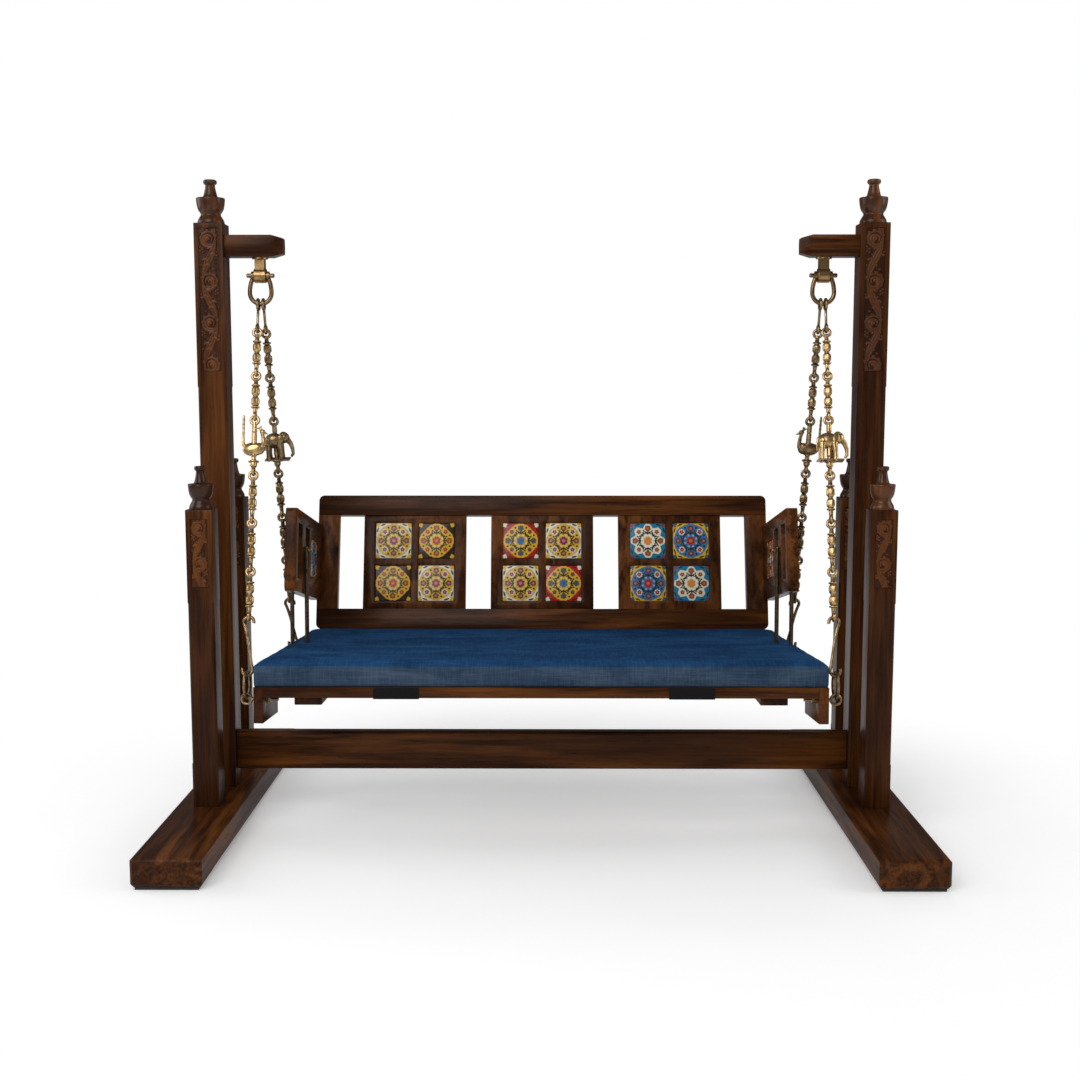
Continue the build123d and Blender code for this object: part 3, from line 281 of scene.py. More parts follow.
def block(name, centre, sizes):
    """A plate with square edges."""
    deselect()
    bpy.ops.mesh.primitive_cube_add(size=1, location=centre, scale=sizes)
    return fresh(name)


def lathe(name, outline, sides):
    """Turn an outline of (radius, height) points about Z by drawing a disc upward."""
    deselect()
    radius, height = outline[0]
    bpy.ops.mesh.primitive_circle_add(vertices=sides, radius=radius, fill_type="NGON",
                                      location=(0, 0, height))
    obj = fresh(name)
    edit_all(obj)
    for (r0, z0), (r1, z1) in zip(outline, outline[1:]):
        bpy.ops.mesh.extrude_region_move(TRANSFORM_OT_translate={"value": (0, 0, z1 - z0)})
        bpy.ops.transform.resize(value=(r1 / r0, r1 / r0, 1), center_override=(0, 0, z1))
    bpy.ops.object.mode_set(mode="OBJECT")
    return tidy(obj)


def eye_pair(name, pitch):
    """A link's upper and crossed lower eye, and where its stem starts and ends."""
    upper = FRONT_EYE - EYE_WIRE / 2 - EYE_CLEAR
    lower = pitch - SIDE_EYE + EYE_WIRE / 2 + EYE_CLEAR
    eyes = []
    for radius, drop, turn in ((FRONT_EYE, upper, (radians(90), 0, 0)),
                               (SIDE_EYE, lower, (0, radians(90), 0))):
        deselect()
        bpy.ops.mesh.primitive_torus_add(major_radius=radius, minor_radius=EYE_WIRE / 2,
                                         major_segments=28, minor_segments=12,
                                         location=(0, 0, -drop), rotation=turn)
        eyes.append(fresh(name))
    return eyes, upper + FRONT_EYE, lower - SIDE_EYE


def ball(name, centre, radii, turn=(0, 0, 0)):
    """A ball drawn out to three radii."""
    deselect()
    bpy.ops.mesh.primitive_uv_sphere_add(segments=28, ring_count=18, radius=1, location=centre,
                                         rotation=turn, scale=radii)
    return fresh(name)


def rod_between(name, start, end, r0, r1):
    """A tapered round bar between two points."""
    start, end = Vector(start), Vector(end)
    deselect()
    bpy.ops.mesh.primitive_cone_add(vertices=16, radius1=r0, radius2=r1,
                                    depth=(end - start).length)
    obj = fresh(name)
    turn = (end - start).to_track_quat("Z", "Y").to_matrix().to_4x4()
    obj.data.transform(Matrix.Translation((start + end) / 2) @ turn)
    return obj


def bend(name, points, radii):
    """A tapered bar through several points, with a ball at each bend."""
    spots = list(zip(points, radii))
    parts = [rod_between(name, start, end, r0, r1)
             for (start, r0), (end, r1) in zip(spots, spots[1:])]
    parts += [ball(name, point, (radius, radius, radius)) for point, radius in spots]
    return joined(name, parts)


def rounded_copy(node, name, width, segments=2):
    """A CAD piece's shape with its sharp edges eased, which stands for that piece."""
    piece = node_copy(node, Matrix.Identity(4), name)
    take(piece)
    bpy.ops.mesh.customdata_custom_splitnormals_clear()
    edit_all(piece)
    bpy.ops.mesh.remove_doubles(threshold=2e-6)
    bpy.ops.mesh.dissolve_limited(angle_limit=radians(1.5))
    bpy.ops.object.mode_set(mode="OBJECT")
    modify(piece, "BEVEL", width=width, segments=segments, limit_method="ANGLE",
           angle_limit=radians(35), use_clamp_overlap=True, harden_normals=False)
    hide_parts(node)
    return smooth(piece, 50)


def dress(obj, material, body):
    """Give a piece its material and its body."""
    obj.data.materials.clear()
    obj.data.materials.append(material)
    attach(obj, body)
    return obj


def paint_nodes(names, material):
    """Give CAD nodes that keep their shape a finished material."""
    for name in names:
        for place in NODES[name].material_slots:
            place.material = material


# ---- shader helpers ---------------------------------------------------------------------
class Wire:
    """A node's output. Sums and products of wires and numbers become Math nodes."""

    def __init__(self, node, output=0):
        self.tree, self.socket = node.id_data, node.outputs[output]

    def __add__(self, other):
        return calc("ADD", self, other)

    def __radd__(self, other):
        return calc("ADD", other, self)

    def __sub__(self, other):
        return calc("SUBTRACT", self, other)

    def __rsub__(self, other):
        return calc("SUBTRACT", other, self)

    def __mul__(self, other):
        return calc("MULTIPLY", self, other)

    def __rmul__(self, other):
        return calc("MULTIPLY", other, self)


def feed(value, socket):
    """Link a wire to an input, or set the input to a number, a vector or a colour."""
    if isinstance(value, Wire):
        value.tree.links.new(value.socket, socket)
    elif isinstance(value, (int, float)):
        socket.default_value = value
    else:
        socket.default_value = (*value, 1)[:len(socket.default_value)]


def plug(node, **values):
    """Feed a node's inputs by name, in which _ stands for a space."""
    for name, value in values.items():
        feed(value, node.inputs[name.replace("_", " ")])
    return node


def add(tree, kind, settings=None, **values):
    """Add a shader node, set it up and feed its inputs."""
    node = tree.nodes.new("ShaderNode" + kind)
    for key, value in (settings or {}).items():
        setattr(node, key, value)
    return plug(node, **values)


def fed(kind, settings, *values):
    """A node whose inputs are fed in their own order by wires, numbers or colours."""
    tree = next(value.tree for value in values if isinstance(value, Wire))
    node = add(tree, kind, settings)
    for socket, value in zip([s for s in node.inputs if s.enabled], values):
        feed(value, socket)
    return Wire(node, next(n for n, socket in enumerate(node.outputs) if socket.enabled))


def calc(operation, *values):
    """A Math node."""
    return fed("Math", {"operation": operation}, *values)


def colour_mix(factor, first, second):
    """A colour between two, by a factor."""
    return fed("Mix", {"data_type": "RGBA"}, factor, first, second)


def shader_mix(factor, first, second):
    """A shader between two, by a factor."""
    return fed("MixShader", {}, factor, first, second)


def step(value, low, high):
    """0 below low, 1 above high and smooth between; low may be the larger."""
    return Wire(add(value.tree, "MapRange", {"interpolation_type": "SMOOTHSTEP"},
                    Value=value, From_Min=low, From_Max=high), "Result")


def stretched(vector, scale):
    """The same vector scaled."""
    return Wire(add(vector.tree, "Mapping", Vector=vector, Scale=scale), "Vector")


def field(vector, scale, detail=4.0, rough=0.55, distort=0.0):
    """A noise value over a vector; scale is a number, or three that stretch the noise."""
    if isinstance(scale, tuple):
        vector, scale = stretched(vector, scale), 1.0
    return Wire(add(vector.tree, "TexNoise", Vector=vector, Scale=scale, Detail=detail,
                    Roughness=rough, Distortion=distort), "Fac")


def split(vector):
    """The three parts of a vector."""
    node = add(vector.tree, "SeparateXYZ", Vector=vector)
    return [Wire(node, axis) for axis in "XYZ"]


def attribute(tree, name):
    """A number that the mesh keeps at each point."""
    return Wire(add(tree, "Attribute", {"attribute_name": name}), "Fac")


def new_material(name):
    """A material with a Principled shader; gives it, the shader and the place on the piece."""
    material = bpy.data.materials.new(name)
    material.use_nodes = True
    tree = material.node_tree
    return material, tree.nodes["Principled BSDF"], Wire(add(tree, "TexCoord"), "Object")


def bumped(shader, height, strength, distance):
    """Feed a height through a Bump node into the shader."""
    bump = add(shader.id_data, "Bump", Strength=strength, Distance=distance, Height=height)
    plug(shader, Normal=Wire(bump))


def shader_group(name, inputs, outputs):
    """A node group with named sockets; gives it, its inputs as wires, and its end node."""
    tree = bpy.data.node_groups.new(name, "ShaderNodeTree")
    for way, sockets in (("INPUT", inputs), ("OUTPUT", outputs)):
        for label, kind in sockets.items():
            tree.interface.new_socket(label, in_out=way, socket_type="NodeSocket" + kind)
    start = tree.nodes.new("NodeGroupInput")
    given = {label: Wire(start, label) for label in inputs}
    return tree, given, tree.nodes.new("NodeGroupOutput")


SKIN = {"Color": "Color", "Roughness": "Float", "Height": "Float"}
GLAZES = ("Ground", "Rim", "Medallion", "Flower", "Small flower", "Middle", "Corner", "Halo",
          "Heart", "Leaf")


# ---- shared effects -------------------------------------------------------------------------
def grain_group():
    """Long wood grain along the vector's X, with pores."""
    tree, given, out = shader_group(
        "wood_grain", {"Vector": "Vector", "Pale": "Color", "Dark": "Color"}, SKIN)
    vector = given["Vector"]
    bands = step(calc("SINE", field(vector, (0.9, 9, 9), 3, 0.5, 0.6) * 34.0), -0.9, 1.0)
    fine = field(vector, (5, 120, 120), 5, 0.7)
    pore = step(field(vector, (16, 420, 420), 2, 0.6), 0.36, 0.30)
    patch = step(field(vector, (1.2, 5, 5), 2), 0.35, 0.68)
    tone = (bands * 0.45 + step(fine, 0.32, 0.68) * 0.5) * (patch * 0.9 + 0.28)
    colour = colour_mix(tone, given["Dark"], given["Pale"])
    shade = colour_mix(0.6, given["Dark"], (0.012, 0.004, 0.002))
    plug(out, Color=colour_mix(pore * 0.65, colour, shade), Roughness=0.30 + pore * 0.25,
         Height=fine * 0.3 - pore)
    return tree


def patina_group():
    """Cast metal: soft mottling, tarnish in patches and a lightly hammered skin."""
    tree, given, out = shader_group("cast_patina", {"Vector": "Vector", "Metal": "Color",
                                                    "Tarnish": "Color", "Age": "Float"}, SKIN)
    cloud = field(given["Vector"], 60, 5, 0.6)
    speck = field(given["Vector"], 420, 3, 0.6)
    hollow = step(Wire(add(tree, "NewGeometry"), "Pointiness"), 0.52, 0.44)
    dull = step(cloud, 0.38, 0.7) * given["Age"] + hollow * 0.75
    dull = calc("MINIMUM", dull + step(speck, 0.5, 0.72) * 0.18, 0.92)
    plug(out, Color=colour_mix(dull, given["Metal"], given["Tarnish"]),
         Roughness=0.27 + dull * 0.33, Height=cloud + speck * 0.4)
    return tree


def polar(x, y):
    """How far a point is from the middle, and in which direction."""
    return calc("SQRT", x * x + y * y), calc("ARCTAN2", y, x)


def flower(x, y, centre, radius, petals, depth, turn=0.0, soft=0.02):
    """A mask of one flower on a tile: its radius swells and shrinks round its centre."""
    reach, angle = polar(x - centre[0], y - centre[1])
    lobes = calc("ABSOLUTE", calc("COSINE", (angle + turn) * (petals / 2)))
    return step(radius * ((1 - depth) + lobes * depth) - reach, -soft, soft)


def medallion(reach, angle, lobes, depth, radius):
    """A mask of the medallion, whose scalloped edge swells at each lobe."""
    wave = calc("ABSOLUTE", calc("COSINE", angle * (lobes * 0.5)))
    scallop = calc("ABSOLUTE", calc("SINE", angle * 12.0))
    edge = (1.0 - (1.0 - wave) * depth) * radius + scallop * 0.025
    return step(edge - reach, -0.015, 0.015)


def blade(x, y, centre, radii, lean=0.0):
    """A mask of one leaf: an ellipse round a centre, turned by lean."""
    dx, dy = x - centre[0], y - centre[1]
    along = dx * (cos(lean) / radii[0]) + dy * (sin(lean) / radii[0])
    across = dy * (cos(lean) / radii[1]) - dx * (sin(lean) / radii[1])
    return step(along * along + across * across, 1.25, 0.75)


def mandala_group():
    """A painted tile: a medallion with nine flowers among dark leaves, and corner sprays."""
    tree, given, out = shader_group(
        "painted_tile", {"Vector": "Vector", "Lobes": "Float", "Depth": "Float",
                         **dict.fromkeys(GLAZES, "Color")}, SKIN)
    vector, leaf = given["Vector"], given["Leaf"]
    wobble = (field(vector, 7, 2) - 0.5) * 0.05
    x, y, _ = split(vector)
    x, y = x + wobble, y - wobble
    ax, ay = calc("ABSOLUTE", x), calc("ABSOLUTE", y)
    reach, angle = polar(x, y)
    rim, inner = [medallion(reach, angle, given["Lobes"], given["Depth"], radius)
                  for radius in (0.95, 0.90)]
    spot = flower(ax, ay, (0.90, 0.90), 0.15, 4, 0.35, 0.4)
    colour = colour_mix(spot, given["Ground"], given["Corner"])
    for centre, lean in (((0.60, 0.90), radians(-18)), ((0.90, 0.60), radians(108))):
        colour = colour_mix(blade(ax, ay, centre, (0.15, 0.045), lean), colour, leaf)
    colour = colour_mix(rim, colour, given["Rim"])
    colour = colour_mix(inner, colour, given["Medallion"])
    turn = calc("PINGPONG", angle, pi / 8)
    stem, gap = [(reach * calc("COSINE", fold), reach * calc("SINE", fold))
                 for fold in (turn, pi / 8 - turn)]
    leaves = blade(*stem, (0.46, 0.085), (0.125, 0.050), radians(58))
    for place, centre, radii in ((stem, (0.47, 0.0), (0.13, 0.030)),
                                 (gap, (0.80, 0.0), (0.065, 0.052)),
                                 (gap, (0.61, 0.0), (0.060, 0.040)),
                                 (gap, (0.43, 0.0), (0.035, 0.045))):
        leaves = calc("MAXIMUM", leaves, blade(*place, centre, radii))
    leaves = leaves * inner
    colour = colour_mix(leaves, colour, leaf)
    bud = blade(*gap, (0.33, 0.0), (0.060, 0.048))
    colour = colour_mix(bud, colour, colour_mix(0.3, given["Rim"], (1, 1, 0.8)))
    halo = flower(ax, ay, (0.50, 0.50), 0.175, 8, 0.2)
    colour = colour_mix(halo, colour, given["Halo"])
    relief = leaves
    for centre, radius, petals, label, edge in (
            ((0.0, 0.71), 0.155, 6, "Flower", 0.025), ((0.71, 0.0), 0.155, 6, "Flower", 0.025),
            ((0.50, 0.50), 0.115, 5, "Small flower", 0.012),
            ((0.0, 0.0), 0.245, 8, "Middle", 0.0)):
        border = flower(ax, ay, centre, radius + edge, petals, 0.25, 0.3)
        petal = flower(ax, ay, centre, radius, petals, 0.30, 0.3)
        eye = flower(ax, ay, centre, 0.42 * radius, petals, 0.3, 0.0, 0.03)
        colour = colour_mix(border, colour, leaf)
        colour = colour_mix(petal, colour, given[label])
        colour = colour_mix(eye * 0.7, colour, given["Heart"])
        relief = calc("MAXIMUM", relief, border - petal)
    wash = field(vector, 6, 4, 0.7)
    thin = colour_mix(0.10, colour, (0.8, 0.75, 0.6))
    plug(out, Color=colour_mix(step(wash, 0.5, 0.95), colour, thin),
         Roughness=0.16 + wash * 0.12, Height=relief + wash * 0.6)
    return tree


def slub_group():
    """Plain weave with thick and thin threads both ways."""
    tree, given, out = shader_group(
        "slub_weave", {"Vector": "Vector", "Thread": "Color", "Slub": "Color",
                       "Pitch": "Float"}, {"Color": "Color", "Height": "Float"})
    vector = given["Vector"]
    threads = [step(field(vector, scale, 3, 0.7), 0.42, 0.72)
               for scale in ((18, 330, 330), (330, 18, 18))]
    cloud = field(stretched(vector, (1.0, 2.2, 2.2)), 5.5, 5, 0.6, 0.8)
    slub = (threads[0] + threads[1]) * 0.34 + step(cloud, 0.36, 0.70) * 0.52
    x, y, z = split(vector)
    turns = calc("DIVIDE", 2 * pi, given["Pitch"])
    weave = calc("SINE", x * turns) * calc("SINE", (y + z) * turns)
    plug(out, Color=colour_mix(slub, given["Thread"], given["Slub"]), Height=weave * 0.5 + slub)
    return tree


EFFECTS = {}


def effect(tree, build, **values):
    """Place a shared effect in a material; it is built the first time it is wanted."""
    if build not in EFFECTS:
        EFFECTS[build] = build()
    return add(tree, "Group", {"node_tree": EFFECTS[build]}, **values)


# ---- materials --------------------------------------------------------------------------------
WOODS = {}


def wood(axis, shift=0.0, carved=False, polish=0.0):
    """Lacquered sheesham with its grain along one axis; carved pieces also get painted shade on
    the carving's ground and a painted highlight on its crests.
    """
    key = f"{'carved_' * carved}sheesham_{axis}_{int(shift * 10)}"
    if key in WOODS:
        return WOODS[key]
    look = bpy.context.scene.jhoola_wood
    turn = {"x": (0, 0, 0), "y": (0, 0, radians(90)), "z": (0, radians(90), 0)}[axis]
    material, shader, place = new_material(key)
    tree = material.node_tree
    moved = add(tree, "Mapping", Vector=place, Rotation=turn,
                Location=(shift, shift * 0.7, shift * 1.3))
    grain = effect(tree, grain_group, Vector=Wire(moved), Pale=look.pale, Dark=look.dark)
    colour = Wire(grain, "Color")
    if carved:
        # Painted shade on the carving's ground and a painted highlight on its crests, blended by
        # the carving's height at each point.
        ground = colour_mix(0.45, colour, (0.012, 0.003, 0.001))
        painted_highlight_crest = colour_mix(0.3, colour, (0.27, 0.085, 0.02))
        colour = colour_mix(step(attribute(tree, "rise"), 0.1, 1.1), ground, painted_highlight_crest)
    plug(shader, Base_Color=colour, Roughness=Wire(grain, "Roughness"),
         Specular_IOR_Level=0.08 + polish, Coat_Weight=0.03 + polish, Coat_Roughness=0.12)
    bumped(shader, Wire(grain, "Height"), 0.25, 0.0004)
    WOODS[key] = material
    return material


def brass(name, colour, age):
    """Cast brass of one colour and age."""
    material, shader, place = new_material(name)
    skin = effect(material.node_tree, patina_group, Vector=place, Metal=colour, Age=age,
                  Tarnish=bpy.context.scene.jhoola_brass.dirt)
    plug(shader, Base_Color=Wire(skin, "Color"), Roughness=Wire(skin, "Roughness"),
         Metallic=1.0)
    bumped(shader, Wire(skin, "Height"), 0.3, 0.0006)
    return material


def plain_metal(name, colour, roughness):
    """Rolled steel with faint streaks."""
    material, shader, place = new_material(name)
    streak = field(place, (30, 300, 300))
    plug(shader, Base_Color=colour_mix(streak, [0.55 * c for c in colour], colour),
         Roughness=roughness + streak * 0.15, Metallic=1.0)
    bumped(shader, streak, 0.15, 0.0003)
    return material


def webbing():
    """Black woven band with ribs across it."""
    material, shader, place = new_material("black_webbing")
    rib = calc("SINE", split(place)[0] * (2 * pi / 0.003))
    fuzz = field(place, 500, 3)
    plug(shader, Base_Color=colour_mix(fuzz, (0.003, 0.003, 0.003), (0.013, 0.013, 0.014)),
         Roughness=0.85, Specular_IOR_Level=0.15)
    bumped(shader, rib + fuzz, 0.5, 0.0005)
    return material


def rubber():
    """Dull black rubber with dust."""
    material, shader, place = new_material("dull_rubber")
    dust = field(place, 90, 5, 0.7)
    plug(shader, Base_Color=colour_mix(dust, (0.012, 0.012, 0.012), (0.06, 0.055, 0.05)),
         Roughness=0.8)
    bumped(shader, dust, 0.3, 0.0005)
    return material


def denim():
    """The cushion's slubby blue cloth, painted in the top's colours or the sides' by which way the
    surface faces: painted light and shade.
    """
    look = bpy.context.scene.jhoola_cushion
    material, shader, place = new_material("blue_slub_cloth")
    # The facing mask blends from the top's colours to the sides' greyer ones: painted light and
    # shade on one cloth.
    side = attribute(material.node_tree, "side")
    cloth = effect(material.node_tree, slub_group, Vector=place,
                   Thread=colour_mix(side, look.blue, look.side),
                   Slub=colour_mix(side, look.pale, look.side_pale), Pitch=0.0016)
    plug(shader, Base_Color=Wire(cloth, "Color"), Roughness=0.95, Specular_IOR_Level=0.08)
    bumped(shader, Wire(cloth, "Height"), 0.5, 0.0008)
    return material


def painted_tile(name, colours, lobes, depth):
    """One tile design, painted over the tile's own flat coordinates."""
    material, shader, _ = new_material(name)
    tree = material.node_tree
    chart = add(tree, "UVMap", {"uv_map": "tile"})
    labels = [label.replace(" ", "_") for label in GLAZES]
    paint = effect(tree, mandala_group, Vector=Wire(chart), Lobes=lobes, Depth=depth,
                   **dict(zip(labels, colours)))
    plug(shader, Base_Color=Wire(paint, "Color"), Roughness=Wire(paint, "Roughness"),
         Specular_IOR_Level=0.25, Coat_Weight=0.12, Coat_Roughness=0.06)
    bumped(shader, Wire(paint, "Height"), 0.25, 0.0006)
    return material


# ---- stand ------------------------------------------------------------------------------------
def ease_wood(rows, body, prefix, edge, segments=2):
    """Replace wooden CAD pieces by eased ones: rows of node, grain axis and grain shift."""
    for node, axis, shift in rows:
        width = 3 * edge if node.startswith("hanger") else edge
        piece = rounded_copy(node, f"{prefix}_{node}", width, segments)
        dress(piece, wood(axis, shift), body)


class JHOOLA_OT_stand(Operator):
    """Feet, posts, stretcher and hanger arms with eased edges"""
    bl_idname = "jhoola.stand"
    bl_label = "Wooden stand"

    def execute(self, context):
        rows = [("stretcher", "x", 0.9)]
        rows += [("hanger_arm_left", "x", 2.3), ("hanger_arm_right", "x", 3.1)]
        for name, side in SIDES:
            rows += [(f"foot_{name}", "y", 0.4 + side), (f"tall_post_{name}", "z", 1.7 * side)]
            rows += [(f"short_post_{end}_{name}", "z", 0.8 * side + way) for end, way in ENDS]
        ease_wood(rows, "stand", "carved", context.scene.jhoola_wood.edge, 4)
        paint_nodes(["foot_pads"], rubber())
        paint_nodes(["foot_bolts"], plain_metal("zinc_steel", (0.45, 0.45, 0.43), 0.35))
        return {"FINISHED"}


def finial_outline(wide, high):
    """A finial's half outline: flared base, waist, bowl, slender neck and knob."""
    base = [(0.93, 0.0), (0.945, 0.02), (0.93, 0.055), (0.90, 0.085), (0.83, 0.125), (0.75, 0.165),
            (0.70, 0.195), (0.69, 0.215), (0.71, 0.235), (0.755, 0.26), (0.84, 0.295),
            (0.91, 0.35), (0.96, 0.43), (0.985, 0.50), (1.0, 0.555), (0.995, 0.575),
            (0.97, 0.585), (0.62, 0.592), (0.54, 0.605), (0.48, 0.64), (0.43, 0.70),
            (0.38, 0.77), (0.345, 0.83), (0.335, 0.86), (0.345, 0.88), (0.43, 0.90),
            (0.47, 0.925), (0.475, 0.95), (0.45, 0.98), (0.38, 0.995), (0.10, 1.0)]
    return [(r * wide / 2, z * high) for r, z in base]


class JHOOLA_OT_finials(Operator):
    """Turned finials on the six posts"""
    bl_idname = "jhoola.finials"
    bl_label = "Turned finials"

    def execute(self, context):
        for kind, size, top, ways in (("tall", TALL_FINIAL, POST_TOP, (0,)),
                                      ("short", SHORT_FINIAL, SHORT_POST_TOP, (-1, 1))):
            pattern = smooth(lathe(f"{kind}_pattern", finial_outline(*size), 48), 40)
            spots = [(side * POST_X, way * SHORT_POST_Y, top) for _, side in SIDES for way in ways]
            turned = [copied(pattern, Matrix.Translation(spot), kind) for spot in spots]
            piece = joined(f"turned_{kind}_finials", turned)
            dress(piece, wood("z", 5.3, polish=0.14), "stand")
            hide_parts(f"{kind}_finials")
            discard(pattern)
        return {"FINISHED"}


# ---- carving --------------------------------------------------------------------------------
VINE_GRID, VINE_RIM, VINE_REACH, VINE_LIFT = 0.0011, 0.0015, 0.0046, 0.0001


def arc_stroke(centre, start, end, radii, wide, tall, count=40):
    """A carved stroke that winds from one angle to another while its radius changes."""
    points = []
    for n in range(count):
        t = n / (count - 1)
        angle = radians(start + (end - start) * t)
        radius = radii[0] + (radii[1] - radii[0]) * t ** 0.8
        points.append((centre[0] + radius * cos(angle), centre[1] + radius * sin(angle),
                       0.0011 + wide * sin(pi * min(1.0, 0.15 + 0.80 * t)) ** 0.7, tall))
    return points


def scroll(half, pitch):
    """One scroll of the vine and its stems, as strokes round the scroll's middle."""
    strokes = [arc_stroke((0, 0), -140, 150, (0.84 * half, 0.66 * half), 0.0030, 0.80),
               arc_stroke((0, -0.05 * half), -120, 215, (0.55 * half, 0.34 * half), 0.0028, 0.92),
               arc_stroke((0.04 * half, -0.04 * half), -60, 260, (0.24 * half, 0.04 * half),
                          0.0026, 1.0)]
    for lobe in range(7):
        turn = radians(-70 + 38 * lobe)
        strokes.append([(0.82 * half * cos(turn), 0.82 * half * sin(turn), 0.0042, 0.78)])
    for shift, wide in ((0.0, 0.0030), (0.26, 0.0022), (-0.24, 0.0020)):
        strokes.append([(-(0.72 - abs(shift) * 0.3) * half * cos(pi * t)
                         + shift * half * sin(pi * t), -t * pitch + 0.25 * shift * half,
                         0.0012 + wide * sin(pi * (0.1 + 0.8 * t)), 0.72 + 0.1 * sin(pi * t))
                        for t in (n / 59 for n in range(60))])
    for at, lean in ((0.30, 1), (0.44, -1), (0.56, 1), (0.70, -1)):
        x, z, bow = -0.72 * half * cos(pi * at), -at * pitch, 0.34 * half
        start, end = (180, 20) if lean > 0 else (0, 160)
        strokes.append(arc_stroke((x + lean * bow, z + 0.1 * half), start, end,
                                  (bow, 0.6 * bow), 0.0030, 0.88, 24))
    for x, z, size in ((0.62, -1.02, 0.0036), (0.84, -0.84, 0.0030), (0.84, -1.20, 0.0032),
                       (0.60, -1.34, 0.0028), (-0.82, -1.62, 0.0036), (-0.84, -1.34, 0.0028),
                       (0.30, -1.62, 0.0028), (-0.42, -3.02, 0.0030), (0.86, -2.62, 0.0028)):
        strokes.append([(x * half, z * half, size, 1.0)])
    return strokes


def vine_points(half, low, high):
    """The carved vine as points: x, z, half width and height of the stroke there."""
    pitch = 4.14 * half
    points = []
    for unit in range(-1, int((high - low) / pitch) + 2):
        way = 1 if unit % 2 else -1
        middle = high - 1.04 * half - unit * pitch
        points += [(way * x, middle + z, wide, tall)
                   for stroke in scroll(half, pitch) for x, z, wide, tall in stroke]
    return points


def vine_panel(name, half, low, high, depth):
    """A carved plate in the XZ plane that faces -Y, its ground at Y 0."""
    deselect()
    bpy.ops.mesh.primitive_grid_add(x_subdivisions=int(2 * half / VINE_GRID),
                                    y_subdivisions=int((high - low) / VINE_GRID), size=1)
    obj = fresh(name)
    points = vine_points(half, low, high)
    tree = kdtree.KDTree(len(points))
    for index, (x, z, _, _) in enumerate(points):
        tree.insert((x, z, 0), index)
    tree.balance()
    heights = []
    for vertex in obj.data.vertices:
        x, z = vertex.co.x * 2 * half, low + (vertex.co.y + 0.5) * (high - low)
        rise = 0.0
        for _, index, away in tree.find_range((x, z, 0), VINE_REACH):
            _, _, wide, tall = points[index]
            if away < wide:
                rise = max(rise, tall * sqrt(1 - (away / wide) ** 2))
        rim = min(1.0, max(0.0, min(half - abs(x), z - low, high - z) / VINE_RIM))
        rough = 0.05 * noise.noise((x * 300, z * 300, low))
        vertex.co = (x, -depth * (rise * rim + rough), z)
        heights.append(rise * rim)
    obj.data.attributes.new("rise", "FLOAT", "POINT").data.foreach_set("value", heights)
    return smooth(obj, 180)


class JHOOLA_OT_carving(Operator):
    """Carved vines in the sunk panels of the posts"""
    bl_idname = "jhoola.carving"
    bl_label = "Carved vines"

    def execute(self, context):
        depth = context.scene.jhoola_wood.relief
        tall = vine_panel("tall_vine", TALL_POST / 2 - PANEL_BORDER, *TALL_PANEL, depth)
        short = vine_panel("short_vine", SHORT_POST / 2 - PANEL_BORDER, *SHORT_PANEL, depth)
        posts = [(tall, "tall", 0, TALL_POST, 1.7, 0.07)]
        posts += [(short, end, way * SHORT_POST_Y, SHORT_POST, 0.8, 0.04) for end, way in ENDS]
        for name, side in SIDES:
            for way_name, way in ENDS:
                turn = Matrix.Rotation(0 if way < 0 else pi, 4, "Z")
                for panel, post, middle, wide, shift, polish in posts:
                    face = middle + way * (wide / 2 - PANEL_DEEP + VINE_LIFT)
                    place = Matrix.Translation((side * POST_X, face, 0)) @ turn
                    piece = copied(panel, place, f"vine_{post}_{way_name}_{name}")
                    dress(piece, wood("z", shift * side, True, polish), "stand")
        discard(tall, short)
        return {"FINISHED"}


# ---- chains ---------------------------------------------------------------------------------
def chain_place(end, side, distance):
    """The place of a link that is drawn hanging down from the origin."""
    top_x, foot_x = CHAIN_XS[end]
    top = Vector((side * top_x, 0, CHAIN_TOP_Z))
    foot = Vector((side * foot_x, end * CHAIN_FOOT_Y, CHAIN_FOOT_Z))
    up = (top - foot).normalized()
    right = (Vector((1, 0, 0)) - up * up.x).normalized()
    turn = Matrix((right, up.cross(right), up)).transposed().to_4x4()
    return HANG @ Matrix.Translation(top - up * distance) @ turn


class JHOOLA_OT_hangers(Operator):
    """Eyes, pins, bows, hooks and rings in old brass"""
    bl_idname = "jhoola.hangers"
    bl_label = "Eyes, shackles and hooks"

    def execute(self, context):
        old = brass("bow_brass", (0.30, 0.185, 0.095), 0.6)
        antique = brass("antique_brass", context.scene.jhoola_brass.antique, 0.75)
        paint_nodes(["hanger_eyes"], brass("eye_brass", (0.42, 0.26, 0.115), 0.5))
        for name, _ in SIDES:
            paint_nodes([f"shackle_pin_{name}", f"shackle_bow_{name}"], old)
            paint_nodes([f"top_hooks_{name}", f"s_hooks_{name}", f"rings_{name}"], antique)
        paint_nodes(["eye_bolts", "eye_bolt_nuts"], antique)
        return {"FINISHED"}


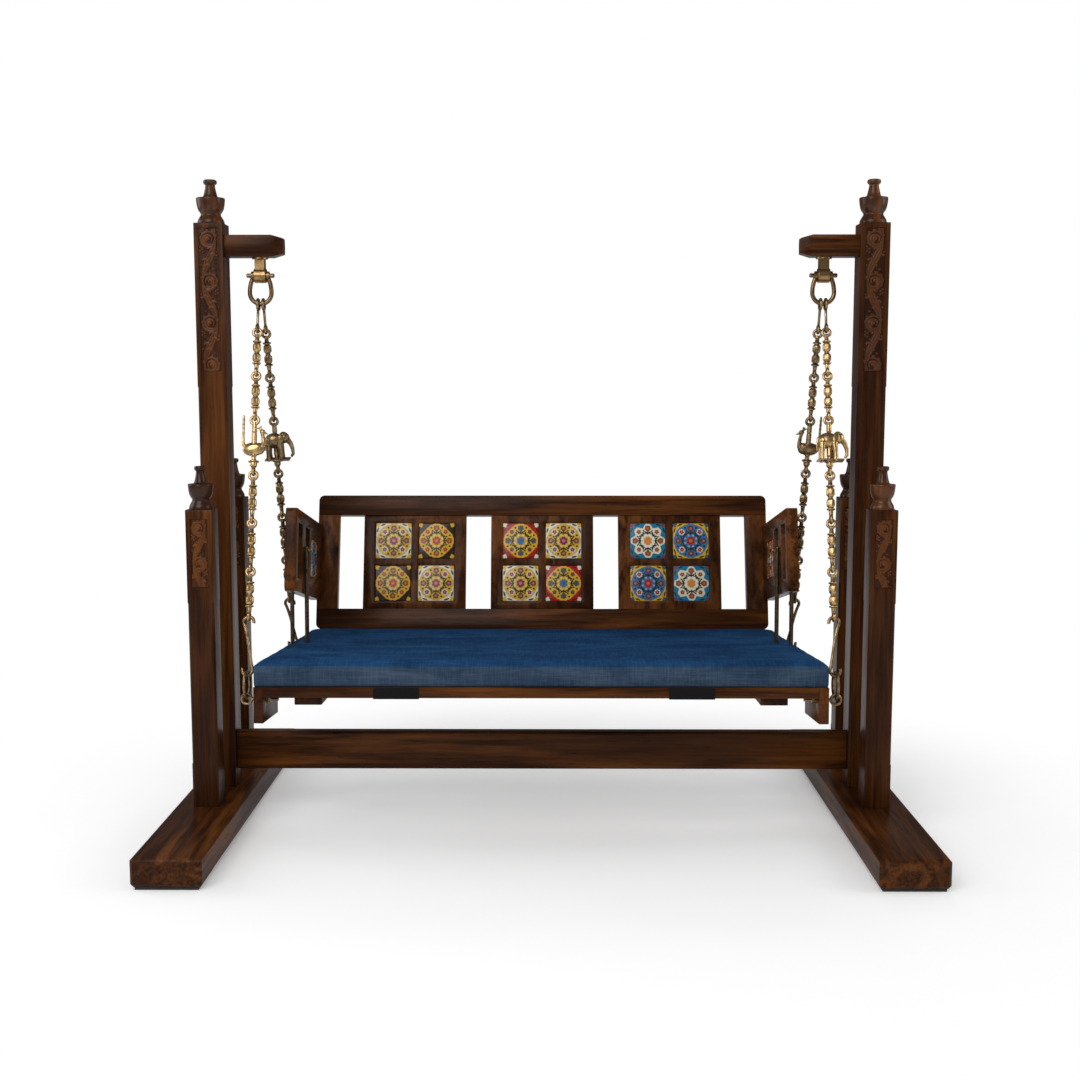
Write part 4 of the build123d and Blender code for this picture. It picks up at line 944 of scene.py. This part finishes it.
def link_pattern(name, pitch, body, look):
    """A cast link: eye, stem, flange, two beads, flange, taper and a turned eye."""
    eyes, high, low = eye_pair(name, pitch)
    high, low = -high, -low
    top = (high + low) / 2 + body / 2
    foot = top - body
    flange, bead, neck, waist = look.flange / 2, look.bead / 2, 0.0072, 0.0062
    outline = [(0.0042, low - 0.001), (0.0050, low + 0.002), (0.0056, foot - 0.0035),
               (0.0056, foot - 0.0003), (flange - 0.0006, foot), (flange, foot + 0.0008),
               (flange, foot + 0.0022), (flange - 0.0006, foot + 0.0030)]
    half = (body - 0.006) / 2
    for n in (0, 1):
        start = foot + 0.003 + n * half
        outline.append((waist, start + 0.06 * half))
        for k in range(9):
            t = k / 8
            swell = sqrt(max(0.0, 1 - abs(2 * t - 1) ** 3.2))
            outline.append((neck + (bead - neck) * swell, start + half * (0.12 + 0.76 * t)))
        outline.append((waist, start + 0.94 * half))
    outline += [(flange - 0.0006, top - 0.0030), (flange, top - 0.0022), (flange, top - 0.0008),
                (flange - 0.0006, top), (0.0056, top + 0.0003), (0.0050, high - 0.003),
                (neck, high + 0.001), (0.0060, high + 0.0045)]
    stem = lathe(name, outline, look.sides)
    for vertex in stem.data.vertices:
        if vertex.co.xy.length > 0.0074 and foot + 0.004 < vertex.co.z < top - 0.004:
            lobe = 1 - 0.045 * (1 + cos(10 * atan2(vertex.co.y, vertex.co.x)))
            vertex.co.x *= lobe
            vertex.co.y *= lobe
    return smooth(joined(name, [stem, *eyes]), 40)


class JHOOLA_OT_chains(Operator):
    """Beaded links of the four chains"""
    bl_idname = "jhoola.chains"
    bl_label = "Beaded links"

    def execute(self, context):
        look, metal = context.scene.jhoola_chain, context.scene.jhoola_brass
        short = link_pattern("short_link", SHORT_PITCH, SHORT_BODY, look)
        long = link_pattern("long_link", LONG_PITCH, LONG_BODY, look)
        golden = brass("golden_brass", metal.bright, 0.35)
        worn = brass("worn_brass", metal.antique, 0.7)
        spots = [(short, HOOK_END + n * SHORT_PITCH) for n in range(2)]
        spots += [(long, LOWER_AT + n * LONG_PITCH) for n in range(3)]
        for side_name, side in SIDES:
            for end_name, end in ENDS:
                links = [copied(link, chain_place(end, side, at), "link") for link, at in spots]
                piece = joined(f"beaded_links_{end_name}_{side_name}", links)
                dress(piece, golden if end < 0 else worn, f"chains_{side_name}")
                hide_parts(f"chain_links_{end_name}_{side_name}")
        discard(short, long)
        return {"FINISHED"}


def cast_figure(name, shapes):
    """Melt a figure's eyes, turned post and shapes into one skin with soft inner corners."""
    eyes, high, low = eye_pair(name, FIGURE_PITCH)
    head, flange = high + 0.004, -FIGURE_FLANGE
    core = lathe(name, [
        (0.0045, -low - 0.001), (0.0072, -low + 0.003), (0.0086, -low + 0.006),
        (0.0085, flange - 0.004), (0.0125, flange - 0.003), (0.0130, flange - 0.002),
        (0.0130, flange - 0.001), (0.0125, flange), (0.0060, flange + 0.002),
        (0.0056, flange + 0.008), (0.0070, flange + 0.014), (0.0064, -head - 0.020),
        (0.0054, -head - 0.019), (0.0054, -head - 0.016), (0.0064, -head - 0.015),
        (0.0060, -head), (0.0048, -head + 0.009)], 28)
    parts = [core, *eyes] + [make(name, *sizes) for make, *sizes in shapes]
    return smooth(remesh(joined(f"cast_{name}", parts), CAST_GRAIN, 2), 180)


def peacock_pattern():
    """A peacock that looks to +X: hull-shaped body, neck, crested head, tail bar."""
    shapes = [
        (ball, (-0.002, 0, -0.0795), (0.0265, 0.0102, 0.0170)),
        (ball, (0.013, 0, -0.0780), (0.0135, 0.0096, 0.0150)),
        (bend, [(-0.0275, 0, 0.005), (-0.0275, 0, -0.045), (-0.0270, 0, -0.066),
                (-0.0150, 0, -0.082)], [0.0026, 0.0031, 0.0040, 0.0085])]
    shapes += [(ball, (-0.0275, 0, -0.004 - 0.011 * n), (0.0037, 0.0034, 0.0028))
               for n in range(5)]
    shapes += [
        (bend, [(0.0205, 0, -0.074), (0.0235, 0, -0.062), (0.0215, 0, -0.047),
                (0.0190, 0, -0.038)], [0.0080, 0.0052, 0.0042, 0.0046]),
        (ball, (0.0200, 0, -0.0350), (0.0070, 0.0052, 0.0058)),
        (rod_between, (0.022, 0, -0.0365), (0.0340, 0, -0.0420), 0.0042, 0.0008)]
    for tip in ((0.0090, 0, -0.0265), (0.0125, 0, -0.0235), (0.0160, 0, -0.0225)):
        shapes += [(rod_between, (0.018, 0, -0.033), tip, 0.0020, 0.0012),
                   (ball, tip, (0.0020, 0.0018, 0.0020))]
    shapes += [(ball, (-0.001, side * 0.0085, -0.078), (0.0175, 0.0032, 0.0100),
                (0, radians(-12), 0)) for side in (-1, 1)]
    return cast_figure("peacock", shapes)


def elephant_pattern():
    """An elephant that looks to +X on a plate: body, domed head, ears, trunk and legs."""
    shapes = [
        (ball, (-0.003, 0, -0.0570), (0.0240, 0.0175, 0.0200)),
        (ball, (-0.0145, 0, -0.0600), (0.0140, 0.0160, 0.0190)),
        (ball, (0.0235, 0, -0.0500), (0.0135, 0.0120, 0.0145)),
        (ball, (0.0215, 0, -0.0400), (0.0090, 0.0105, 0.0060)),
        (bend, [(0.0310, 0, -0.055), (0.0385, 0, -0.065), (0.0425, 0, -0.078),
                (0.0435, 0, -0.092), (0.0395, 0, -0.0985)],
         [0.0078, 0.0062, 0.0050, 0.0041, 0.0035])]
    for side in (-1, 1):
        shapes += [
            (ball, (0.0145, side * 0.0135, -0.0520), (0.0088, 0.0028, 0.0125),
             (radians(side * 10), radians(14), 0)),
            (rod_between, (0.030, side * 0.006, -0.059), (0.0385, side * 0.008, -0.0665),
             0.0022, 0.0009)]
        shapes += [(bend, [(x, side * 0.0082, -0.066), (x + lean, side * 0.0086, -0.088),
                           (x + lean, side * 0.0086, -0.1045)], [0.0088, 0.0060, 0.0066])
                   for x, lean in ((-0.0175, -0.0015), (0.0110, 0.0025))]
    shapes += [
        (bend, [(-0.027, 0, -0.052), (-0.0305, 0, -0.066), (-0.0300, 0, -0.082)],
         [0.0034, 0.0018, 0.0022]),
        (block, (0.002, 0, -0.1070), (0.064, 0.027, 0.004))]
    return cast_figure("elephant", shapes)


class JHOOLA_OT_figures(Operator):
    """Cast peacocks and elephants between the links"""
    bl_idname = "jhoola.figures"
    bl_label = "Peacocks and elephants"

    def execute(self, context):
        metal = context.scene.jhoola_brass
        golden = brass("golden_figure_brass", metal.bright, 0.45)
        worn = brass("worn_figure_brass", metal.antique, 0.65)
        peacock, elephant = peacock_pattern(), elephant_pattern()
        mirror = Matrix.Scale(-1, 4, (1, 0, 0))
        for side_name, side in SIDES:
            for _, end in ENDS:
                figure, kind = (peacock, "peacock") if end == side else (elephant, "elephant")
                place = chain_place(end, side, FIGURE_AT)
                if (end, side) == (1, 1):
                    place = place @ mirror
                piece = copied(figure, place, f"cast_{kind}_{side_name}")
                dress(piece, golden if end < 0 else worn, f"chains_{side_name}")
                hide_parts(f"{kind}_{side_name}")
        discard(peacock, elephant)
        return {"FINISHED"}


# ---- seat -----------------------------------------------------------------------------------
class JHOOLA_OT_seat_frame(Operator):
    """Seat board, cheek blocks and battens with eased edges"""
    bl_idname = "jhoola.seat_frame"
    bl_label = "Seat frame"

    def execute(self, context):
        ease_wood((("seat_board", "x", 4.2), ("cheek_blocks_left", "y", 1.1),
                   ("cheek_blocks_right", "y", 2.2), ("seat_battens", "y", 3.3)),
                  "seat", "eased", context.scene.jhoola_wood.edge)
        return {"FINISHED"}


def inflate(obj, pressure, cap, frames=20):
    """Swell a cover by cloth simulation and keep every point within a cap."""
    start = [vertex.co.copy() for vertex in obj.data.vertices]
    cloth = obj.modifiers.new("cover", "CLOTH")
    settings = cloth.settings
    settings.quality = 5
    settings.mass = 0.3
    settings.tension_stiffness = settings.compression_stiffness = 25
    settings.bending_stiffness = 2
    settings.use_pressure = True
    settings.uniform_pressure_force = pressure
    settings.effector_weights.gravity = 0
    cloth.point_cache.frame_start, cloth.point_cache.frame_end = 1, frames
    for number in range(1, frames + 1):
        bpy.context.scene.frame_set(number)
    take(obj)
    bpy.ops.object.modifier_apply(modifier=cloth.name)
    bpy.context.scene.frame_set(1)
    for vertex, origin in zip(obj.data.vertices, start):
        move = vertex.co - origin
        if move.length > cap:
            vertex.co = origin + move * (cap / move.length)


def share(value):
    """A number kept between 0 and 1."""
    return min(1.0, max(0.0, value))


def sew(pad, seam):
    """Raise the seam where top and bottom meet the sides, and mark how far a point faces sideways,
    for the painted light and shade between top and sides.
    """
    normals = [vertex.normal.copy() for vertex in pad.data.vertices]
    for vertex, normal in zip(pad.data.vertices, normals):
        vertex.co += normal * (seam * exp(-((abs(normal.z) - 0.70) / 0.13) ** 2))
    # How far a point faces sideways; it sets the painted light and shade between the cushion's top
    # and sides.
    sides = [share((0.80 - normal.z) / 0.15) for normal in normals]
    pad.data.attributes.new("side", "FLOAT", "POINT").data.foreach_set("value", sides)


def settle(pad, droop):
    """Rest the cushion on the board, hang its front over the edge, keep it under the backrest."""
    floor, bend_back, thick = BOARD_TOP + 0.0005, 0.055, 0.040
    for vertex in pad.data.vertices:
        spot = vertex.co
        ahead = share((SEAT_BACK - spot.y) / (SEAT_BACK - SEAT_FRONT))
        spot.x *= 1.002 + 0.014 * ahead
        spot.y -= 0.003 * ahead
        spot.z += REAR_LIFT * (1 - ahead) * share((spot.z - floor) / thick)
        front = share((SEAT_FRONT + bend_back - spot.y) / bend_back)
        spot.z -= droop * front * front * (3 - 2 * front)
        if spot.z < floor and spot.y < SEAT_FRONT + 0.004:
            spot.y = min(spot.y, SEAT_FRONT - 0.0015)
        elif spot.z < floor:
            spot.z = floor
        if spot.y > BACK_Y - 0.002:
            under = BACK_Z - 0.0006 - max(0.0, spot.y - BACK_Y) * tan(BACK_TILT)
            spot.z = min(spot.z, under)


class JHOOLA_OT_cushion(Operator):
    """The blue cushion, swelled by its filling, with a seam round its top and bottom"""
    bl_idname = "jhoola.cushion"
    bl_label = "Cushion"

    def execute(self, context):
        look = context.scene.jhoola_cushion
        pad = tidy(node_copy("cushion", HANG.inverted(), "blue_cushion"))
        bpy.ops.mesh.customdata_custom_splitnormals_clear()
        modify(pad, "BEVEL", width=0.013, segments=4, limit_method="ANGLE",
               angle_limit=radians(60), use_clamp_overlap=True)
        middle = ((SEAT_FRONT + SEAT_BACK) / 2, BOARD_TOP + CUSHION_TALL / 2)
        for vertex in pad.data.vertices:
            vertex.co.x *= 0.9965
            vertex.co.y = middle[0] + (vertex.co.y - middle[0]) * 0.993
            vertex.co.z = middle[1] + (vertex.co.z - middle[1]) * 0.93
        remesh(pad, look.voxel, 3)
        inflate(pad, look.pressure, look.swell)
        modify(pad, "SUBSURF", levels=1, render_levels=1)
        sew(pad, look.seam)
        settle(pad, look.droop)
        smooth(pad, 180)
        pad.data.transform(HANG)
        dress(pad, denim(), "seat")
        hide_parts("cushion")
        return {"FINISHED"}


class JHOOLA_OT_straps(Operator):
    """Black webbing bands round the seat board"""
    bl_idname = "jhoola.straps"
    bl_label = "Webbing bands"

    def execute(self, context):
        piece = rounded_copy("cushion_straps", "webbing_bands", 0.0006)
        dress(piece, webbing(), "seat")
        return {"FINISHED"}


class JHOOLA_OT_backrest(Operator):
    """Backrest rails, stiles and panels with eased edges, and its steel"""
    bl_idname = "jhoola.backrest"
    bl_label = "Backrest"

    def execute(self, context):
        ease_wood([("backrest_" + name, axis, shift) for name, axis, shift in (
            ("top_rail", "x", 6.1), ("bottom_rail", "x", 7.4), ("stiles", "z", 2.9),
            ("panel_left", "z", 3.7), ("panel_middle", "z", 4.6), ("panel_right", "z", 5.5))],
                  "seat", "eased", context.scene.jhoola_wood.edge)
        steel = plain_metal("bracket_steel", (0.30, 0.29, 0.27), 0.4)
        paint_nodes(["backrest_brackets", "backrest_screws"], steel)
        return {"FINISHED"}


def tile_blank():
    """A pillow-edged tile in the XZ plane that faces -Y, with its own flat coordinates."""
    obj = block("tile_blank", (0, TILE_THICK / 2, 0), (TILE, TILE_THICK, TILE))
    modify(obj, "BEVEL", width=0.0026, segments=4, limit_method="ANGLE", angle_limit=radians(40))
    for layer in list(obj.data.uv_layers):
        obj.data.uv_layers.remove(layer)
    chart = obj.data.uv_layers.new(name="tile")
    for loop in obj.data.loops:
        point = obj.data.vertices[loop.vertex_index].co
        chart.data[loop.index].uv = (2 * point.x / TILE, 2 * point.z / TILE)
    return smooth(obj, 60)


def tile_glazes(c):
    """Six tile designs: colours in the order of GLAZES, the medallion's lobes and their depth."""
    mauve, rust, slate = (0.17, 0.042, 0.050), (0.30, 0.045, 0.010), (0.055, 0.085, 0.11)
    pink, amber, olive = (0.58, 0.26, 0.33), (0.66, 0.24, 0.04), (0.50, 0.34, 0.07)
    designs = {
        "cream": ((c.cream, olive, c.yellow, mauve, c.plum, c.plum, c.yellow, c.cream, pink),
                  8, 0.03),
        "brown": ((c.brown, c.yellow, c.yellow, rust, c.red, c.red, c.yellow, c.yellow, amber),
                  4, 0.12),
        "red": ((c.red, c.yellow, c.yellow, slate, mauve, c.blue, c.cream, c.yellow, slate),
                4, 0.12),
        "sea": ((c.teal, c.cream, c.cream, rust, rust, amber, mauve, c.cream, amber), 8, 0.24),
        "gold": ((c.yellow, c.teal, c.blue, mauve, c.red, c.red, slate, c.cream, amber), 8, 0.03),
        "rose": ((c.red, c.yellow, rust, c.cream, c.plum, c.cream, c.cream, amber, amber),
                 8, 0.05),
    }
    return {name: painted_tile(f"tile_{name}", (*colours, c.leaf), lobes, depth)
            for name, (colours, lobes, depth) in designs.items()}


def arm_tile_place(side):
    """The place of an arm's tile, on the slope of its panel."""
    along = Vector((0, cos(ARM_SLOPE), -sin(ARM_SLOPE)))
    up = Vector((0, sin(ARM_SLOPE), cos(ARM_SLOPE)))
    middle = (Vector((side * (ARM_IN + TILE_SUNK), ARM_TOP_Y, ARM_TOP_Z))
              + along * ARM_TILE_S - up * ARM_TILE_N)
    inward = Vector((side, 0, 0))
    turn = Matrix((inward.cross(up), inward, up)).transposed().to_4x4()
    return HANG @ Matrix.Translation(middle) @ turn


class JHOOLA_OT_tiles(Operator):
    """Painted glazed tiles in the backrest and the arms"""
    bl_idname = "jhoola.tiles"
    bl_label = "Painted tiles"

    def execute(self, context):
        glaze = tile_glazes(context.scene.jhoola_tiles)
        groups = []
        for name, x, (outer, inner) in (("left", -PANEL_PITCH, ("cream", "brown")),
                                        ("middle", 0.0, ("red", "cream")),
                                        ("right", PANEL_PITCH, ("sea", "gold"))):
            spots = [(BACKREST @ Matrix.Translation((x + sx * TILE_PITCH / 2,
                                                     PANEL_FACE + TILE_SUNK,
                                                     BACK_TALL / 2 + sz * TILE_PITCH / 2)),
                      inner if sx == sz else outer) for sz in (1, -1) for sx in (-1, 1)]
            groups.append((f"painted_tiles_{name}", f"backrest_tiles_{name}", spots))
        groups.append(("painted_arm_tiles", "arm_tiles",
                       [(arm_tile_place(-1), "gold"), (arm_tile_place(1), "rose")]))
        blank = tile_blank()
        for name, node, spots in groups:
            tiles = []
            for place, kind in spots:
                tiles.append(copied(blank, place, name))
                tiles[-1].data.materials.append(glaze[kind])
            piece = joined(name, tiles)
            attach(piece, "seat")
            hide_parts(node)
        discard(blank)
        return {"FINISHED"}


class JHOOLA_OT_arms(Operator):
    """Sloping arm panels, and their brass rods and bolts"""
    bl_idname = "jhoola.arms"
    bl_label = "Arms and rods"

    def execute(self, context):
        edge = context.scene.jhoola_wood.edge
        for name, side in SIDES:
            piece = rounded_copy(f"arm_panel_{name}", f"eased_arm_{name}", edge)
            dress(piece, wood("y", 6.0 + side), "seat")
        paint_nodes(["arm_rods"], brass("rod_brass", (0.22, 0.155, 0.10), 0.6))
        # The bolts and acorn nuts get a lighter, less tarnished brass than the rods: their brass
        # colour with a painted highlight in it.
        paint_nodes(["rod_clamp_bolts", "rod_acorn_nuts"],
                    brass("knob_brass_and_painted_highlight", (0.55, 0.36, 0.17), 0.35))
        return {"FINISHED"}


# ---- stage ----------------------------------------------------------------------------------
def pale_surface(name, colour):
    """A matt floor that keeps the object's shadow and turns white away from it."""
    material, shader, place = new_material(name)
    tree = material.node_tree
    plug(shader, Base_Color=colour_mix(field(place, 6, 3), [0.98 * c for c in colour], colour),
         Roughness=0.9, Specular_IOR_Level=0.0)
    shown = fed("AddShader", {}, Wire(shader), Wire(add(tree, "Emission", Strength=0.22)))
    away = fed("VectorMath", {"operation": "LENGTH"}, stretched(place, (0.8, 1.0, 1.0)))
    faded = shader_mix(step(away, 0.75, 1.5), shown, Wire(add(tree, "Emission")))
    camera = Wire(add(tree, "LightPath"), "Is Camera Ray")
    plug(tree.nodes["Material Output"], Surface=shader_mix(camera, Wire(shader), faded))
    return material


def pale_room(world, strength, mirror):
    """Light the object from all round, dimmer in reflections and white to the camera."""
    world.use_nodes = True
    tree = world.node_tree
    ray = add(tree, "LightPath")
    light = plug(tree.nodes["Background"], Color=(1, 1, 1), Strength=strength)
    dim = add(tree, "Background", Color=(1, 1, 1), Strength=mirror)
    shown = add(tree, "Background", Color=(1, 1, 1), Strength=1.0)
    room = shader_mix(Wire(ray, "Is Glossy Ray"), Wire(light), Wire(dim))
    seen = calc("MAXIMUM", Wire(ray, "Is Camera Ray"), Wire(ray, "Is Transmission Ray"))
    plug(tree.nodes["World Output"], Surface=shader_mix(seen, room, Wire(shown)))


class JHOOLA_OT_stage(Operator):
    """Pale floor, soft lamps and the camera"""
    bl_idname = "jhoola.stage"
    bl_label = "Stage"

    def execute(self, context):
        look = context.scene.jhoola_stage
        deselect()
        bpy.ops.mesh.primitive_plane_add(size=24, location=(0, 0, 0))
        floor = fresh("pale_floor")
        floor.data.materials.append(pale_surface("pale_floor", (0.93, 0.93, 0.93)))
        floor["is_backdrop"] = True
        aim = Vector((0, 0, 0.8))
        for name, place, size, power in (("key_lamp", (-1.6, -3.4, 3.3), 3.0, look.key),
                                         ("left_lamp", (-4.2, 0.4, 2.0), 2.4, look.fill),
                                         ("right_lamp", (4.2, -0.6, 2.2), 2.4, look.fill),
                                         ("back_lamp", (0.6, 3.8, 3.0), 2.4, look.fill)):
            deselect()
            bpy.ops.object.light_add(type="AREA", location=place)
            lamp = named(bpy.context.active_object, name)
            lamp.data.size = size
            lamp.data.energy = power
            lamp.visible_glossy = name != "back_lamp"
            lamp.rotation_euler = (aim - Vector(place)).to_track_quat("-Z", "Y").to_euler()
        context.scene.world = bpy.data.worlds.new("pale_room")
        pale_room(context.scene.world, look.world, look.mirror)
        deselect()
        bpy.ops.object.camera_add(location=(0.0188, -3.503, 1.115),
                                  rotation=(radians(83.51), 0, radians(0.372)))
        camera = named(bpy.context.active_object, "front_camera")
        camera.data.sensor_width = 36
        camera.data.lens = look.lens
        context.scene.camera = camera
        context.scene.view_settings.view_transform = "Standard"
        return {"FINISHED"}


OPERATORS = (JHOOLA_OT_stand, JHOOLA_OT_finials, JHOOLA_OT_carving, JHOOLA_OT_hangers,
             JHOOLA_OT_chains, JHOOLA_OT_figures, JHOOLA_OT_seat_frame, JHOOLA_OT_cushion,
             JHOOLA_OT_straps, JHOOLA_OT_backrest, JHOOLA_OT_tiles, JHOOLA_OT_arms,
             JHOOLA_OT_stage)


class JHOOLA_PT_sidebar(Panel):
    """Lists the swing's pieces and what may be changed"""
    bl_idname = "JHOOLA_PT_sidebar"
    bl_label = "Jhoola swing"
    bl_space_type = "VIEW_3D"
    bl_region_type = "UI"
    bl_category = "Jhoola"

    def draw(self, context):
        for name, group in LOOKS.items():
            box = self.layout.box()
            box.label(text=group.__doc__)
            for key in group.__annotations__:
                box.prop(getattr(context.scene, name), key)
        for operator in OPERATORS:
            self.layout.operator(operator.bl_idname)


def register():
    """Make the add-on's classes and settings known."""
    for name, group in LOOKS.items():
        bpy.utils.register_class(group)
        setattr(bpy.types.Scene, name, PointerProperty(type=group))
    for operator in OPERATORS:
        bpy.utils.register_class(operator)
    bpy.utils.register_class(JHOOLA_PT_sidebar)


def unregister():
    """Take the add-on's classes and settings away."""
    bpy.utils.unregister_class(JHOOLA_PT_sidebar)
    for operator in reversed(OPERATORS):
        bpy.utils.unregister_class(operator)
    for name, group in LOOKS.items():
        delattr(bpy.types.Scene, name)
        bpy.utils.unregister_class(group)


def main():
    """Build the whole swing on its stage."""
    register()
    for operator in OPERATORS:
        family, name = operator.bl_idname.split(".")
        getattr(getattr(bpy.ops, family), name)()
    boxes = {"cad": CAD_BOX, "visual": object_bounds()}
    boxes = {key: [list(map(float, corner)) for corner in box] for key, box in boxes.items()}


if __name__ == "__main__":
    main()
